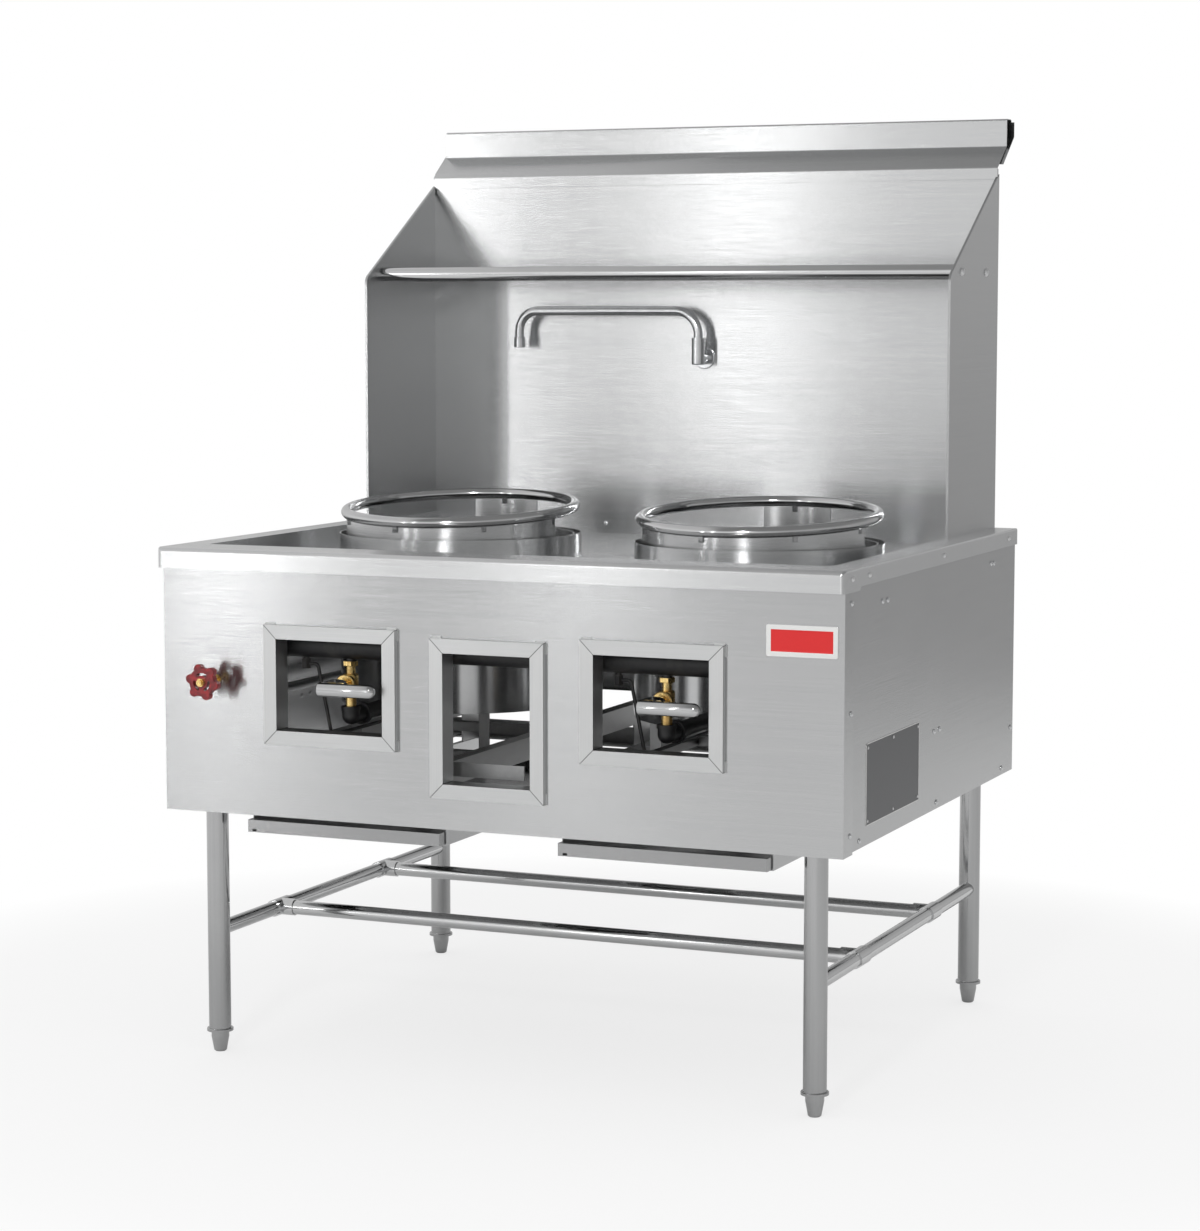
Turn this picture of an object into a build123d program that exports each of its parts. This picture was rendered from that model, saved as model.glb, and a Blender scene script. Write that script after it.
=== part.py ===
from build123d import *
from math import asin, atan2, cos, hypot, radians, sin, tan
import os

# Two-burner wok range: a sheet-metal cabinet on four pipe legs, a sunken
# counter with two burner drums, a tall splash with rack rods and a swinging
# faucet. Millimetres. x is across, y runs back from the front face of the
# counter's lip, z is up from the floor. The finished pieces are shifted so
# that the origin lies under the middle of the whole range.

# ---------------------------------------------------------------- sizes
# counter
counter_width = 1219.0
counter_depth = 984.0
counter_height = 875.0
counter_sheet = 1.5
front_lip = 35.0
side_lip = 29.0
corner_wrap = 77.0
front_bend = 8.0
side_bend = 3.0
front_flat = 88.0
side_flat = 50.0
well_depth = 32.0

# cabinet
cabinet_sheet = 1.2
cabinet_inset = 4.1
panel_setback = 14.6
panel_drop = 448.0
panel_wrap = 45.0
side_step = 4.0
hem_return = 15.0
rear_flange = 20.0
rear_panel_drop = 60.0
tongue = 28.0

# windows in the front panel
window_shift = 2.0
window_width = 244.5
window_height = 200.5
window_drop = 224.0
middle_window_width = 203.0
middle_window_height = 262.0
middle_window_drop = 264.5
window_member = 23.5
window_stand = 9.6
window_throat = 40.0
window_fit = 0.3
tab_length = 18.0
tab_reach = 3.5

# base frame, legs and stretchers
angle_width = 35.0
angle_thickness = 3.0
gusset_size = 100.0
gusset_thickness = 4.0
leg_inset = 63.9
front_leg_y = 74.0
rear_leg_inset = 49.0
leg_diameter = 38.1
leg_wall = 1.5
foot_height = 35.4
foot_gap = 0.4
foot_diameter = 30.5
foot_flats = 28.0
stud_diameter = 12.0
stud_length = 45.0
collar_diameter = 45.5
collar_thickness = 5.0
socket_depth = 22.0
socket_gap = 0.05
stretcher_diameter = 25.4
stretcher_wall = 1.2
cross_stretcher_diameter = 25.2
stretcher_height = 213.0
front_stretcher_y = 290.0
rear_stretcher_inset = 294.0
tee_wall = 2.2
tee_run = 52.0
tee_branch = 30.0

# burners
burner_shift = 5.25
burner_forward = 31.0
drum_diameter = 433.0
drum_rise = 0.5
drum_sheet = 1.5
drum_floor_sheet = 3.0
drum_floor_bore = 90.0
pipe_port = 32.0
drum_leg_width = 20.0
drum_leg_thickness = 3.0
drum_leg_side_inset = 92.5
drum_leg_front_inset = 49.5
drum_leg_length = 67.5
rail_spread = 182.0
rail_stand = 20.0
rail_height = 40.0
rail_width = 25.0
rail_sheet = 3.0
cross_bar_width = 20.0
tie_bar_y = 90.0
tie_bar_end = 29.0
tie_bar_height = 24.0
holder_inset = 12.5
holder_sheet = 2.0
holder_foot_drop = 1.0
holder_notch_drop = 2.0
holder_corner = 12.0
front_wall_angle = 80.0
rear_wall_angle = 18.0
ring_outset = 0.5
ring_tube = 19.0
ring_rise = 43.8
ring_tilt = 3.8
ring_gap = 0.35
lug_angles = (92.0, 219.0, 262.0, 307.0, 347.0)
lug_width = 8.0
lug_prong = 3.0
lug_drop = 9.0
lug_gap = 0.6

# jet burner casting
burner_flange_diameter = 190.0
burner_flange_thickness = 6.0
burner_bowl_diameter = 150.0
burner_bowl_height = 38.0
burner_bowl_slope = 10.0
burner_inlet_rise = 21.5
burner_inlet_reach = 12.0
burner_inlet_wall = 4.0
jet_height = 22.0
jet_base = 9.0
jet_tip = 5.0
jet_bore = 2.2
jet_inner_radius = 26.0
jet_outer_radius = 52.0

# gas train
manifold_diameter = 42.2
pipe_wall = 2.8
manifold_y = 80.0
manifold_drop = 162.8
manifold_tail = 170.0
manifold_end = 37.0
cap_length = 18.0
hanger_spread = 130.0
hanger_width = 30.0
hanger_thickness = 8.0
valve_drop = 62.2
valve_neck_length = 38.0
valve_nut_flats = 24.0
valve_nut_height = 8.0
valve_neck_diameter = 16.0
valve_body_diameter = 26.0
valve_body_height = 34.0
valve_tail_diameter = 18.0
valve_tail_length = 38.0
bonnet_diameter = 35.0
bonnet_thickness = 8.0
bonnet_front = 57.0
stem_diameter = 7.0
stem_depth = 20.0
running_gap = 0.05
elbow_diameter = 33.0
elbow_band = 6.0
elbow_reach = 32.0
elbow_band_diameter = 38.0
supply_diameter = 26.7
supply_drop = 16.0
inlet_diameter = 33.4
inlet_inset = 70.4
inlet_reach = 30.0
thread_length = 22.0
thread_depth = 0.6
pilot_offset = 84.0
pilot_body_diameter = 14.0
pilot_body_height = 16.0
pilot_tube = 6.0
pilot_drop = 14.5
pilot_bends = (8.0, 12.0, 10.0)
pilot_foot = 40.0
pilot_nipple = 3.0
pilot_run = 22.0
pilot_jog = 6.0
pilot_port = 12.0

# knee lever
lever_height = 22.0
lever_sheet = 3.0
lever_front = -12.0
lever_tab = 45.0
lever_left = 12.5
lever_right = 92.0
lever_bend = 3.5
stem_front = 34.0
lever_nut_flats = 10.0
lever_nut_thickness = 5.0

# water valve, pipe and faucet
wheel_inset = 100.4
wheel_drop = 221.0
wheel_diameter = 57.0
wheel_lobe = 8.0
wheel_lobe_radius = 22.5
wheel_thickness = 11.0
wheel_front = -35.0
wheel_hub = 20.0
wheel_slot_radius = 13.5
wheel_slot_width = 5.0
wheel_slot_sweep = 62.0
wheel_stem_diameter = 8.0
wheel_nut_flats = 13.0
water_valve_y = 62.0
water_body_diameter = 30.0
water_body_height = 46.0
water_bonnet_diameter = 24.0
water_bonnet_reach = 34.0
water_packing_diameter = 16.0
water_packing_reach = 14.0
panel_hole_gap = 1.0
water_pipe_diameter = 17.2
water_pipe_inset = 55.4
water_riser_gap = 24.0
water_pipe_rise = 51.0
water_inlet_drop = 54.0
water_jog = 60.0
water_pipe_wall = 1.5
water_inlet_wall = 2.0
water_pipe_bends = (12.0, 20.0, 25.0, 25.0, 18.0)
water_inlet_bends = (12.0, 20.0)
faucet_body_drop = 12.5
faucet_body_height = 50.5
faucet_body_diameter = 24.5
faucet_stand = 34.0
faucet_rise = 306.0
faucet_nipple_diameter = 18.0
flange_diameter = 42.0
flange_thickness = 4.0
spout_diameter = 17.2
spout_wall = 1.2
spout_reach = 369.0
spout_rise = 88.0
spout_seat_rise = 21.5
spout_bend = 45.0
nozzle_bend = 38.0
nozzle_diameter = 22.0
nozzle_drop = 70.0
nozzle_height = 20.0

# splash
wing_inset = 41.5
splash_sheet = 1.2
splash_setback = 8.0
wing_reach = 294.0
wing_lap = 4.0
wing_knuckle_rise = 455.0
wing_rise = 640.0
wing_round = 20.0
hem_width = 4.5
hem_depth = 10.0
cap_lip_gap = 4.0
cap_lip_lap = 9.0
cap_lip_height = 21.0
cap_slope_depth = 58.0
cap_slope_rise = 40.0
cap_face_height = 50.0
cap_return = 30.0
cap_rear_drop = 32.0
cap_rear_slope_depth = 70.0
cap_rear_slope_rise = 52.0
cap_rear_overhang = 4.5
cap_bend = 2.5
rod_diameter = 25.4
rod_wall = 1.5
rod_rise = 8.0
front_rod_inset = 68.0
rear_rod_inset = 220.0
rod_plug = 12.0
rod_bolt_head = 15.0
rod_bolt_rise = 5.0
rod_bolt_shank = 8.0

# fasteners of the counter's side lips
lip_bolt_front = 38.0
lip_bolt_second = 122.5
lip_bolt_shift = 32.0
lip_bolt_rear_inset = 56.0
lip_bolt_drop = 14.5
lip_bolt_head = 9.0
lip_bolt_rise = 3.0
lip_bolt_shank = 4.0

# drip trays
tray_shift = 2.5
tray_width = 361.0
tray_front = 50.0
tray_rear_gap = 134.0
tray_height = 21.0
tray_drop = 41.2
tray_sheet = 1.2
tray_pull = 14.0
runner_gap = 0.8
runner_sheet = 1.5
runner_flange = 12.0
tray_lift = 0.4
runner_setback = 22.0
notch_inset = 8.5
notch_width = 8.0
notch_height = 5.5

# ------------------------------------------------------- places that follow
counter_half = counter_width / 2
counter_under = counter_height - counter_sheet
well_half = counter_half - side_flat
well_floor = counter_height - well_depth
cabinet_width = counter_width - 2 * cabinet_inset
cabinet_half = cabinet_width / 2
drum_radius = drum_diameter / 2
burner_spread = well_half / 2 + burner_shift
burner_y = (front_flat + counter_depth) / 2 - burner_forward
splash_y = counter_depth - splash_setback
lip_bolt_y = (lip_bolt_front, lip_bolt_second, counter_depth / 2 + lip_bolt_shift,
              counter_depth - lip_bolt_rear_inset)
lip_bolt_height = counter_height - lip_bolt_drop

panel_back = panel_setback + cabinet_sheet
panel_bottom = counter_height - panel_drop
side_bottom = panel_bottom + side_step
base_bottom = side_bottom + cabinet_sheet
base_top = base_bottom + angle_thickness
panel_inner = cabinet_half - cabinet_sheet
side_start = panel_setback + panel_wrap
window_face = panel_setback - window_stand
window_spread = burner_spread + window_shift
window_centre = counter_height - window_drop
middle_window_centre = counter_height - middle_window_drop

leg_spread = cabinet_half - leg_inset
rear_leg_y = counter_depth - rear_leg_inset
rear_stretcher_y = counter_depth - rear_stretcher_inset
collar_bottom = foot_height + foot_gap
collar_top = collar_bottom + collar_thickness

manifold_radius = manifold_diameter / 2
manifold_height = counter_height - manifold_drop
valve_height = manifold_height - valve_drop
valve_top = valve_height + valve_neck_length
valve_bottom = valve_height - valve_tail_length
supply_height = valve_bottom - supply_drop
pilot_top = manifold_height - manifold_radius - pilot_nipple
inlet_x = cabinet_half - inlet_inset
manifold_left = -burner_spread - manifold_tail
manifold_right = inlet_x + manifold_end

drum_top = counter_height + drum_rise
drum_bottom = supply_height - burner_inlet_rise
drum_leg_x = drum_radius - drum_leg_side_inset
drum_leg_y = drum_radius - drum_leg_front_inset
cross_bar_top = drum_bottom - drum_leg_length
rail_top = cross_bar_top + rail_stand
holder_diameter = drum_diameter - 2 * holder_inset
holder_bottom = well_floor - holder_foot_drop
holder_notch = counter_height - holder_notch_drop
ring_centre_radius = holder_diameter / 2 + ring_outset
ring_height = counter_height + ring_rise
pilot_low = drum_bottom - pilot_drop

wheel_x = wheel_inset - cabinet_half
wheel_height = counter_height - wheel_drop
water_pipe_x = water_pipe_inset - cabinet_half
water_riser_y = counter_depth + water_riser_gap
water_level = wheel_height + water_pipe_rise
water_inlet_level = wheel_height - water_inlet_drop
rear_panel_bottom = water_inlet_level - rear_panel_drop
faucet_y = splash_y - faucet_stand
faucet_tap_height = counter_height + faucet_rise
faucet_height = faucet_tap_height - faucet_body_drop
spout_seat = faucet_height + spout_seat_rise
spout_height = faucet_tap_height + spout_rise
nozzle_bottom = spout_height - nozzle_drop

splash_half = counter_half - wing_inset
splash_inner = splash_half - splash_sheet
wing_front = splash_y - wing_reach
wing_rear = splash_y + wing_lap
wing_knuckle = counter_height + wing_knuckle_rise
wing_top = counter_height + wing_rise
cap_lip_y = splash_y - cap_lip_gap
cap_lip_bottom = wing_top - cap_lip_lap
cap_lip_top = cap_lip_bottom + cap_lip_height
cap_face_y = cap_lip_y + cap_slope_depth
cap_face_bottom = cap_lip_top + cap_slope_rise
cap_top = cap_face_bottom + cap_face_height
rod_height = wing_knuckle + rod_rise
front_rod_y = wing_front + front_rod_inset
rear_rod_y = wing_front + rear_rod_inset

tray_spread = burner_spread + tray_shift
tray_length = counter_depth - tray_front - tray_rear_gap
tray_bottom = base_bottom - tray_drop

wheel_back = wheel_front + wheel_thickness
water_valve_front = water_valve_y - water_bonnet_reach
front_reach = wheel_front - 9.0
rear_reach = cap_face_y + cap_return
origin_y = (front_reach + rear_reach) / 2


# ------------------------------------------------------------------ helpers
def block(x0, x1, y0, y1, z0, z1):
    """A box between two opposite corners."""
    centre = ((x0 + x1) / 2, (y0 + y1) / 2, (z0 + z1) / 2)
    return Pos(*centre) * Box(abs(x1 - x0), abs(y1 - y0), abs(z1 - z0))


def rod_z(x, y, z0, z1, radius):
    return Pos(x, y, (z0 + z1) / 2) * Cylinder(radius, abs(z1 - z0))


def rod_y(x, y0, y1, z, radius):
    return Pos(x, (y0 + y1) / 2, z) * Rot(90, 0, 0) * Cylinder(radius, abs(y1 - y0))


def rod_x(x0, x1, y, z, radius):
    return Pos((x0 + x1) / 2, y, z) * Rot(0, 90, 0) * Cylinder(radius, abs(x1 - x0))


def hexagon_z(x, y, z0, z1, flats):
    face = Pos(x, y, z0) * RegularPolygon(flats / 2, 6, major_radius=False)
    return extrude(face, z1 - z0)


def hexagon_y(x, y0, y1, z, flats):
    plane = Plane((x, y0, z), x_dir=(1, 0, 0), z_dir=(0, 1, 0))
    face = plane * RegularPolygon(flats / 2, 6, major_radius=False)
    return extrude(face, y1 - y0)


def dome_x(x, y, z, side, head, rise, shank, shank_length):
    """A dome-headed bolt whose head sits on a wall at x, facing side."""
    half = head / 2
    sphere = (half**2 + rise**2) / (2 * rise)
    middle = asin(half / sphere) / 2
    crest = (sphere * sin(middle), 0, rise - sphere * (1 - cos(middle)))
    dome = ThreePointArc((half, 0, 0), crest, (0, 0, rise))
    edge = Polyline((0, 0, rise), (0, 0, -shank_length), (shank / 2, 0, -shank_length),
                    (shank / 2, 0, 0), (half, 0, 0))
    bolt = revolve(make_face(dome + edge), Axis.Z)
    return Pos(x, y, z) * Rot(0, 90 * side, 0) * bolt


def turned(points, x, y, z=0.0):
    """A solid of revolution about an upright axis; points are (radius, height)."""
    face = make_face(Polyline([(r, 0, h) for r, h in points], close=True))
    return Pos(x, y, z) * revolve(face, Axis.Z)


def folded(points, thickness, bend):
    """Outline of a sheet folded along points, with its thickness to the left."""
    directions = []
    for (x0, y0), (x1, y1) in zip(points, points[1:]):
        run = hypot(x1 - x0, y1 - y0)
        directions.append(((x1 - x0) / run, (y1 - y0) / run))
    shifted = []
    turns = [0.0]
    for index, (x, y) in enumerate(points):
        before = directions[max(index - 1, 0)]
        after = directions[min(index, len(directions) - 1)]
        cosine = before[0] * after[0] + before[1] * after[1]
        normal = (-(before[1] + after[1]), before[0] + after[0])
        scale = thickness / (1 + cosine)
        shifted.append((x + normal[0] * scale, y + normal[1] * scale))
        if 0 < index < len(points) - 1:
            turns.append(before[0] * after[1] - before[1] * after[0])
    turns.append(0.0)
    near = [0.0 if t == 0 else bend + (thickness if t > 0 else 0.0) for t in turns]
    far = [0.0 if t == 0 else bend + (0.0 if t > 0 else thickness) for t in turns]
    outline = list(points) + shifted[::-1]
    return outline, near + far[::-1]


def folded_in_yz(points, thickness, bend, x0, x1):
    """A sheet folded along (y, z) points and run across from x0 to x1."""
    outline, radii = folded(points, thickness, bend)
    corners = [(x0, y, z) for y, z in outline]
    wire = FilletPolyline(*corners, radius=radii, close=True)
    return extrude(make_face(wire), amount=x1 - x0, dir=(1, 0, 0))


def folded_in_xy(points, thickness, bend, z0, z1):
    """A strip folded along (x, y) points and run up from z0 to z1."""
    outline, radii = folded(points, thickness, bend)
    corners = [(x, y, z0) for x, y in outline]
    wire = FilletPolyline(*corners, radius=radii, close=True)
    return extrude(make_face(wire), amount=z1 - z0, dir=(0, 0, 1))


def plate_in_yz(points, x0, x1, radii=0.0):
    """A flat plate with a (y, z) outline between x0 and x1."""
    corners = [(x0, y, z) for y, z in points]
    wire = FilletPolyline(*corners, radius=radii, close=True)
    return extrude(make_face(wire), amount=x1 - x0, dir=(1, 0, 0))


def bent_tube(points, radius, bore, bend):
    """A tube or, with no bore, a bar along straight runs joined by arcs."""
    path = FilletPolyline(*points, radius=bend) if len(points) > 2 else Polyline(*points)
    start = Plane(path @ 0, z_dir=path % 0)
    profile = start * Circle(radius)
    if bore:
        profile -= start * Circle(bore)
    return sweep(profile, path=path)


def sector(x, y, start, end, reach, z0, z1):
    """A pie slice about an upright axis, for cutting rings at angles."""
    middle = radians((start + end) / 2)
    half = radians((end - start) / 2)
    far = reach / cos(half)
    tips = [radians(start), radians(end)]
    corners = [(x, y, z0)] + [(x + far * cos(a), y + far * sin(a), z0) for a in tips]
    far_side = (x + far * cos(middle), y + far * sin(middle), z0)
    corners.insert(2, far_side)
    return extrude(make_face(Polyline(*corners, close=True)), amount=z1 - z0, dir=(0, 0, 1))


def thread_relief(x, z, radius):
    """The thin sleeve taken off a supply pipe's rear end where its thread runs."""
    end = counter_depth + inlet_reach
    sleeve = rod_y(x, end - thread_length, end + 1, z, radius + 1)
    return sleeve - rod_y(x, end - thread_length, end + 1, z, radius - thread_depth)


def both_sides(build):
    """The left piece and the right piece of a mirrored pair."""
    return {"left": build(-1), "right": build(1)}


parts = {}


# ------------------------------------------------------------------ counter
def make_counter():
    """One folded top: flats, lips, a sunken well and the two burner holes."""
    lip_end = counter_height - front_lip
    skin = block(-counter_half, counter_half, 0, counter_depth, lip_end, counter_height)
    top_edges = skin.edges().group_by(Axis.Z)[-1]
    skin = fillet(top_edges.filter_by(Axis.Y), side_bend)
    front_edge = skin.edges().filter_by(Axis.X).group_by(Axis.Z)[-1].sort_by(Axis.Y)[0]
    skin = fillet(front_edge, front_bend)
    hollow = block(-counter_half + counter_sheet, counter_half - counter_sheet,
                   counter_sheet, counter_depth + 1, lip_end - 1, counter_under)
    inner_edges = hollow.edges().group_by(Axis.Z)[-1]
    hollow = fillet(inner_edges.filter_by(Axis.Y), side_bend - counter_sheet)
    inner_front = hollow.edges().filter_by(Axis.X).group_by(Axis.Z)[-1].sort_by(Axis.Y)[0]
    hollow = fillet(inner_front, front_bend - counter_sheet)
    skin -= hollow
    skin -= block(-counter_half - 1, counter_half + 1, corner_wrap, counter_depth + 1,
                  lip_end - 1, counter_height - side_lip)
    floor_under = well_floor - counter_sheet
    outside = well_half + counter_sheet
    skin += block(-outside, outside, front_flat - counter_sheet, counter_depth,
                  floor_under, counter_under + counter_sheet / 2)
    skin -= block(-well_half, well_half, front_flat, counter_depth + 1,
                  well_floor, counter_height + 1)
    for side in (-1, 1):
        skin -= rod_z(side * burner_spread, burner_y, floor_under - 1, well_floor + 1,
                      drum_radius)
        for y in lip_bolt_y:
            skin -= rod_x(side * counter_half - 4, side * counter_half + 4, y,
                          lip_bolt_height, lip_bolt_shank / 2 + running_gap)
    return skin


def make_lip_bolts():
    return [dome_x(side * counter_half, y, lip_bolt_height, side, lip_bolt_head,
                   lip_bolt_rise, lip_bolt_shank, counter_sheet + 1.0)
            for side in (-1, 1) for y in lip_bolt_y]


parts["counter_top"] = make_counter()
parts["counter_lip_bolts"] = make_lip_bolts()


# ------------------------------------------------------------------ cabinet
def window_places():
    """Name, centre x, centre z, width and height of each window."""
    return (("left", -window_spread, window_centre, window_width, window_height),
            ("middle", 0.0, middle_window_centre, middle_window_width,
             middle_window_height),
            ("right", window_spread, window_centre, window_width, window_height))


def frame_block(x, z, width, height, y0, y1):
    return block(x - width / 2, x + width / 2, y0, y1, z - height / 2, z + height / 2)


def make_front_panel():
    """The front sheet with its wrapped ends, bottom return and window holes."""
    sheet = block(-cabinet_half, cabinet_half, panel_setback, panel_back,
                  panel_bottom, counter_under)
    for side in (-1, 1):
        outer = side * cabinet_half
        inner = side * panel_inner
        sheet += block(inner, outer, panel_setback, side_start, panel_bottom,
                       counter_under)
    sheet += block(-panel_inner, panel_inner, panel_setback, panel_back + hem_return,
                   panel_bottom, panel_bottom + cabinet_sheet)
    for _, x, z, width, height in window_places():
        grow = 2 * (cabinet_sheet + window_fit - window_member)
        sheet -= frame_block(x, z, width + grow, height + grow,
                             panel_setback - 1, panel_back + 1)
    hole = water_packing_diameter / 2 + panel_hole_gap
    sheet -= rod_y(wheel_x, panel_setback - 1, panel_back + 1, wheel_height, hole)
    return sheet


def make_window_frame(x, z, width, height):
    """A folded picture frame: outer wall, face, and a throat into the cabinet."""
    inner_width = width - 2 * window_member
    inner_height = height - 2 * window_member
    skin = 2 * cabinet_sheet
    back = window_face + window_throat
    frame = frame_block(x, z, width, height, window_face, panel_setback)
    frame -= frame_block(x, z, width - skin, height - skin,
                         window_face + cabinet_sheet, panel_setback + 1)
    frame += frame_block(x, z, inner_width + skin, inner_height + skin,
                         window_face, back)
    frame -= frame_block(x, z, inner_width, inner_height, window_face - 1, back + 1)
    for side in (-1, 1):
        corner = x + side * width / 2
        top = z + height / 2
        tab_back = panel_setback - cabinet_sheet
        frame += block(corner, corner - side * tab_length, tab_back, panel_setback,
                       top - cabinet_sheet, top + tab_reach)
        for low in (top - tab_length, z - height / 2):
            frame += block(corner - side * cabinet_sheet, corner + side * tab_reach,
                           tab_back, panel_setback, low, low + tab_length)
    return frame


def make_side_panel(side):
    """A side sheet with a tongue behind the front wrap and two inner flanges."""
    outer = side * cabinet_half
    inner = side * panel_inner
    second = side * (panel_inner - cabinet_sheet)
    flange = side * (cabinet_half - rear_flange)
    bottom_flange = side * (cabinet_half - hem_return)
    sheet = block(inner, outer, side_start, counter_depth, side_bottom, counter_under)
    sheet += block(second, inner, side_start - tongue, side_start + tongue / 2,
                   base_bottom + angle_width, counter_under)
    sheet += block(flange, outer, counter_depth - cabinet_sheet, counter_depth,
                   side_bottom, well_floor - counter_sheet)
    sheet += block(bottom_flange, outer, side_start, counter_depth, side_bottom,
                   base_bottom)
    return sheet


def make_rear_panel():
    """The short rear sheet: the lower half of the cabinet's back stays open."""
    half = panel_inner - cabinet_sheet
    back = counter_depth - cabinet_sheet
    front = back - cabinet_sheet
    top = well_floor - counter_sheet
    sheet = block(-half, half, front, back, rear_panel_bottom, top)
    sheet += block(-half, half, front - hem_return, back, rear_panel_bottom,
                   rear_panel_bottom + cabinet_sheet)
    sheet -= rod_y(inlet_x, front - 1, back + 1, manifold_height,
                   inlet_diameter / 2 + panel_hole_gap)
    for level in (water_level, water_inlet_level):
        sheet -= rod_y(water_pipe_x, front - 1, back + 1, level,
                       water_pipe_diameter / 2 + panel_hole_gap)
    return sheet


parts["front_panel"] = make_front_panel()
for name, x, z, width, height in window_places():
    parts[name + "_window_frame"] = make_window_frame(x, z, width, height)
for name, panel in both_sides(make_side_panel).items():
    parts[name + "_side_panel"] = panel
parts["rear_panel"] = make_rear_panel()


# ------------------------------------------------- base frame, legs, stretchers
def make_base_frame():
    """Angle-iron ring at the cabinet's foot, with a gusset over each leg."""
    x_out = panel_inner
    y_front = panel_back
    y_rear = counter_depth - cabinet_sheet
    frame = block(-x_out, x_out, y_front, y_rear, base_bottom, base_bottom + angle_width)
    x_web = x_out - angle_thickness
    y_web = y_front + angle_thickness
    y_back_web = y_rear - angle_thickness
    frame -= block(-x_web, x_web, y_web, y_back_web, base_top, base_top + angle_width)
    x_in = x_out - angle_width
    frame -= block(-x_in, x_in, y_front + angle_width, y_rear - angle_width,
                   base_bottom - 1, base_top + 1)
    for side in (-1, 1):
        frame += block(side * x_out, side * (x_out - gusset_size), y_front,
                       y_front + gusset_size, base_top, base_top + gusset_thickness)
        frame += block(side * x_out, side * (x_out - gusset_size), y_rear,
                       y_rear - gusset_size, base_top, base_top + gusset_thickness)
    for _, x, y in leg_places():
        frame -= rod_z(x, y, base_bottom - 1, base_top, leg_diameter / 2)
    return frame


def leg_places():
    return (("front_left", -leg_spread, front_leg_y),
            ("front_right", leg_spread, front_leg_y),
            ("rear_left", -leg_spread, rear_leg_y),
            ("rear_right", leg_spread, rear_leg_y))


def make_leg(x, y):
    radius = leg_diameter / 2
    tube = rod_z(x, y, collar_top, base_top, radius)
    return tube - rod_z(x, y, collar_top, base_top, radius - leg_wall)


def make_leg_socket(x, y):
    """The threaded plug and collar that close the leg and take the foot."""
    plug = leg_diameter / 2 - leg_wall - socket_gap
    top = collar_top + socket_depth
    collar = rod_z(x, y, collar_bottom, collar_top, collar_diameter / 2)
    socket = chamfer(collar.edges().group_by(Axis.Z)[-1], 0.8)
    socket += rod_z(x, y, collar_top, top, plug)
    return socket - rod_z(x, y, collar_bottom - 1, top + 1,
                          stud_diameter / 2 + running_gap)


def make_foot(x, y):
    """A bullet foot: tapered nose, hexagon for the spanner, stud above."""
    wide = foot_diameter / 2
    nose = wide * 0.72
    stud = stud_diameter / 2
    top = foot_height
    profile = [(0, 0), (nose - 2, 0), (nose, 2), (wide, top * 0.72), (wide, top),
               (stud, top), (stud, top + stud_length), (0, top + stud_length)]
    body = turned(profile, x, y)
    flats = hexagon_z(x, y, 0, top * 0.45, foot_flats)
    return body - (rod_z(x, y, 0, top * 0.45, wide) - flats)


def make_side_stretcher(side):
    """A tube from front leg to rear leg, coped to both."""
    x = side * leg_spread
    radius = stretcher_diameter / 2
    tube = rod_y(x, front_leg_y, rear_leg_y, stretcher_height, radius)
    tube -= rod_y(x, front_leg_y, rear_leg_y, stretcher_height, radius - stretcher_wall)
    for leg_y in (front_leg_y, rear_leg_y):
        tube -= rod_z(x, leg_y, stretcher_height - leg_diameter,
                      stretcher_height + leg_diameter, leg_diameter / 2)
    return tube


def make_cross_stretcher(y):
    """A slightly thinner tube between the side stretchers, coped to both."""
    radius = cross_stretcher_diameter / 2
    tube = rod_x(-leg_spread, leg_spread, y, stretcher_height, radius)
    tube -= rod_x(-leg_spread, leg_spread, y, stretcher_height, radius - stretcher_wall)
    for side in (-1, 1):
        tube -= rod_y(side * leg_spread, y - leg_diameter, y + leg_diameter,
                      stretcher_height, stretcher_diameter / 2)
    return tube


def make_tee(side, y):
    """A tee sleeve round a side stretcher and the end of a cross stretcher."""
    x = side * leg_spread
    run = stretcher_diameter / 2
    branch = cross_stretcher_diameter / 2
    end = x - side * tee_branch
    tee = rod_y(x, y - tee_run / 2, y + tee_run / 2, stretcher_height, run + tee_wall)
    tee += rod_x(x, end, y, stretcher_height, branch + tee_wall)
    tee -= rod_y(x, y - tee_run, y + tee_run, stretcher_height, run)
    return tee - rod_x(x, end, y, stretcher_height, branch)


parts["base_frame"] = make_base_frame()
for name, x, y in leg_places():
    parts[name + "_foot"] = make_foot(x, y)
parts["legs"] = [make_leg(x, y) for _, x, y in leg_places()]
parts["leg_sockets"] = [make_leg_socket(x, y) for _, x, y in leg_places()]
parts["side_stretchers"] = [make_side_stretcher(side) for side in (-1, 1)]
parts["cross_stretchers"] = [make_cross_stretcher(y)
                             for y in (front_stretcher_y, rear_stretcher_y)]
parts["stretcher_tees"] = [make_tee(side, y) for side in (-1, 1)
                           for y in (front_stretcher_y, rear_stretcher_y)]


# ------------------------------------------------------------------ burners
def make_drum(side):
    """The burner chamber: a sheet drum with a floor ring and a pipe port."""
    x = side * burner_spread
    drum = rod_z(x, burner_y, drum_bottom, drum_top, drum_radius)
    drum -= rod_z(x, burner_y, drum_bottom + drum_floor_sheet, drum_top + 1,
                  drum_radius - drum_sheet)
    drum -= rod_z(x, burner_y, drum_bottom - 1, drum_bottom + drum_floor_sheet + 1,
                  drum_floor_bore / 2)
    reach = burner_y - drum_radius
    return drum - rod_y(x, reach - 10, reach + 40, supply_height, pipe_port / 2)


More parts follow.
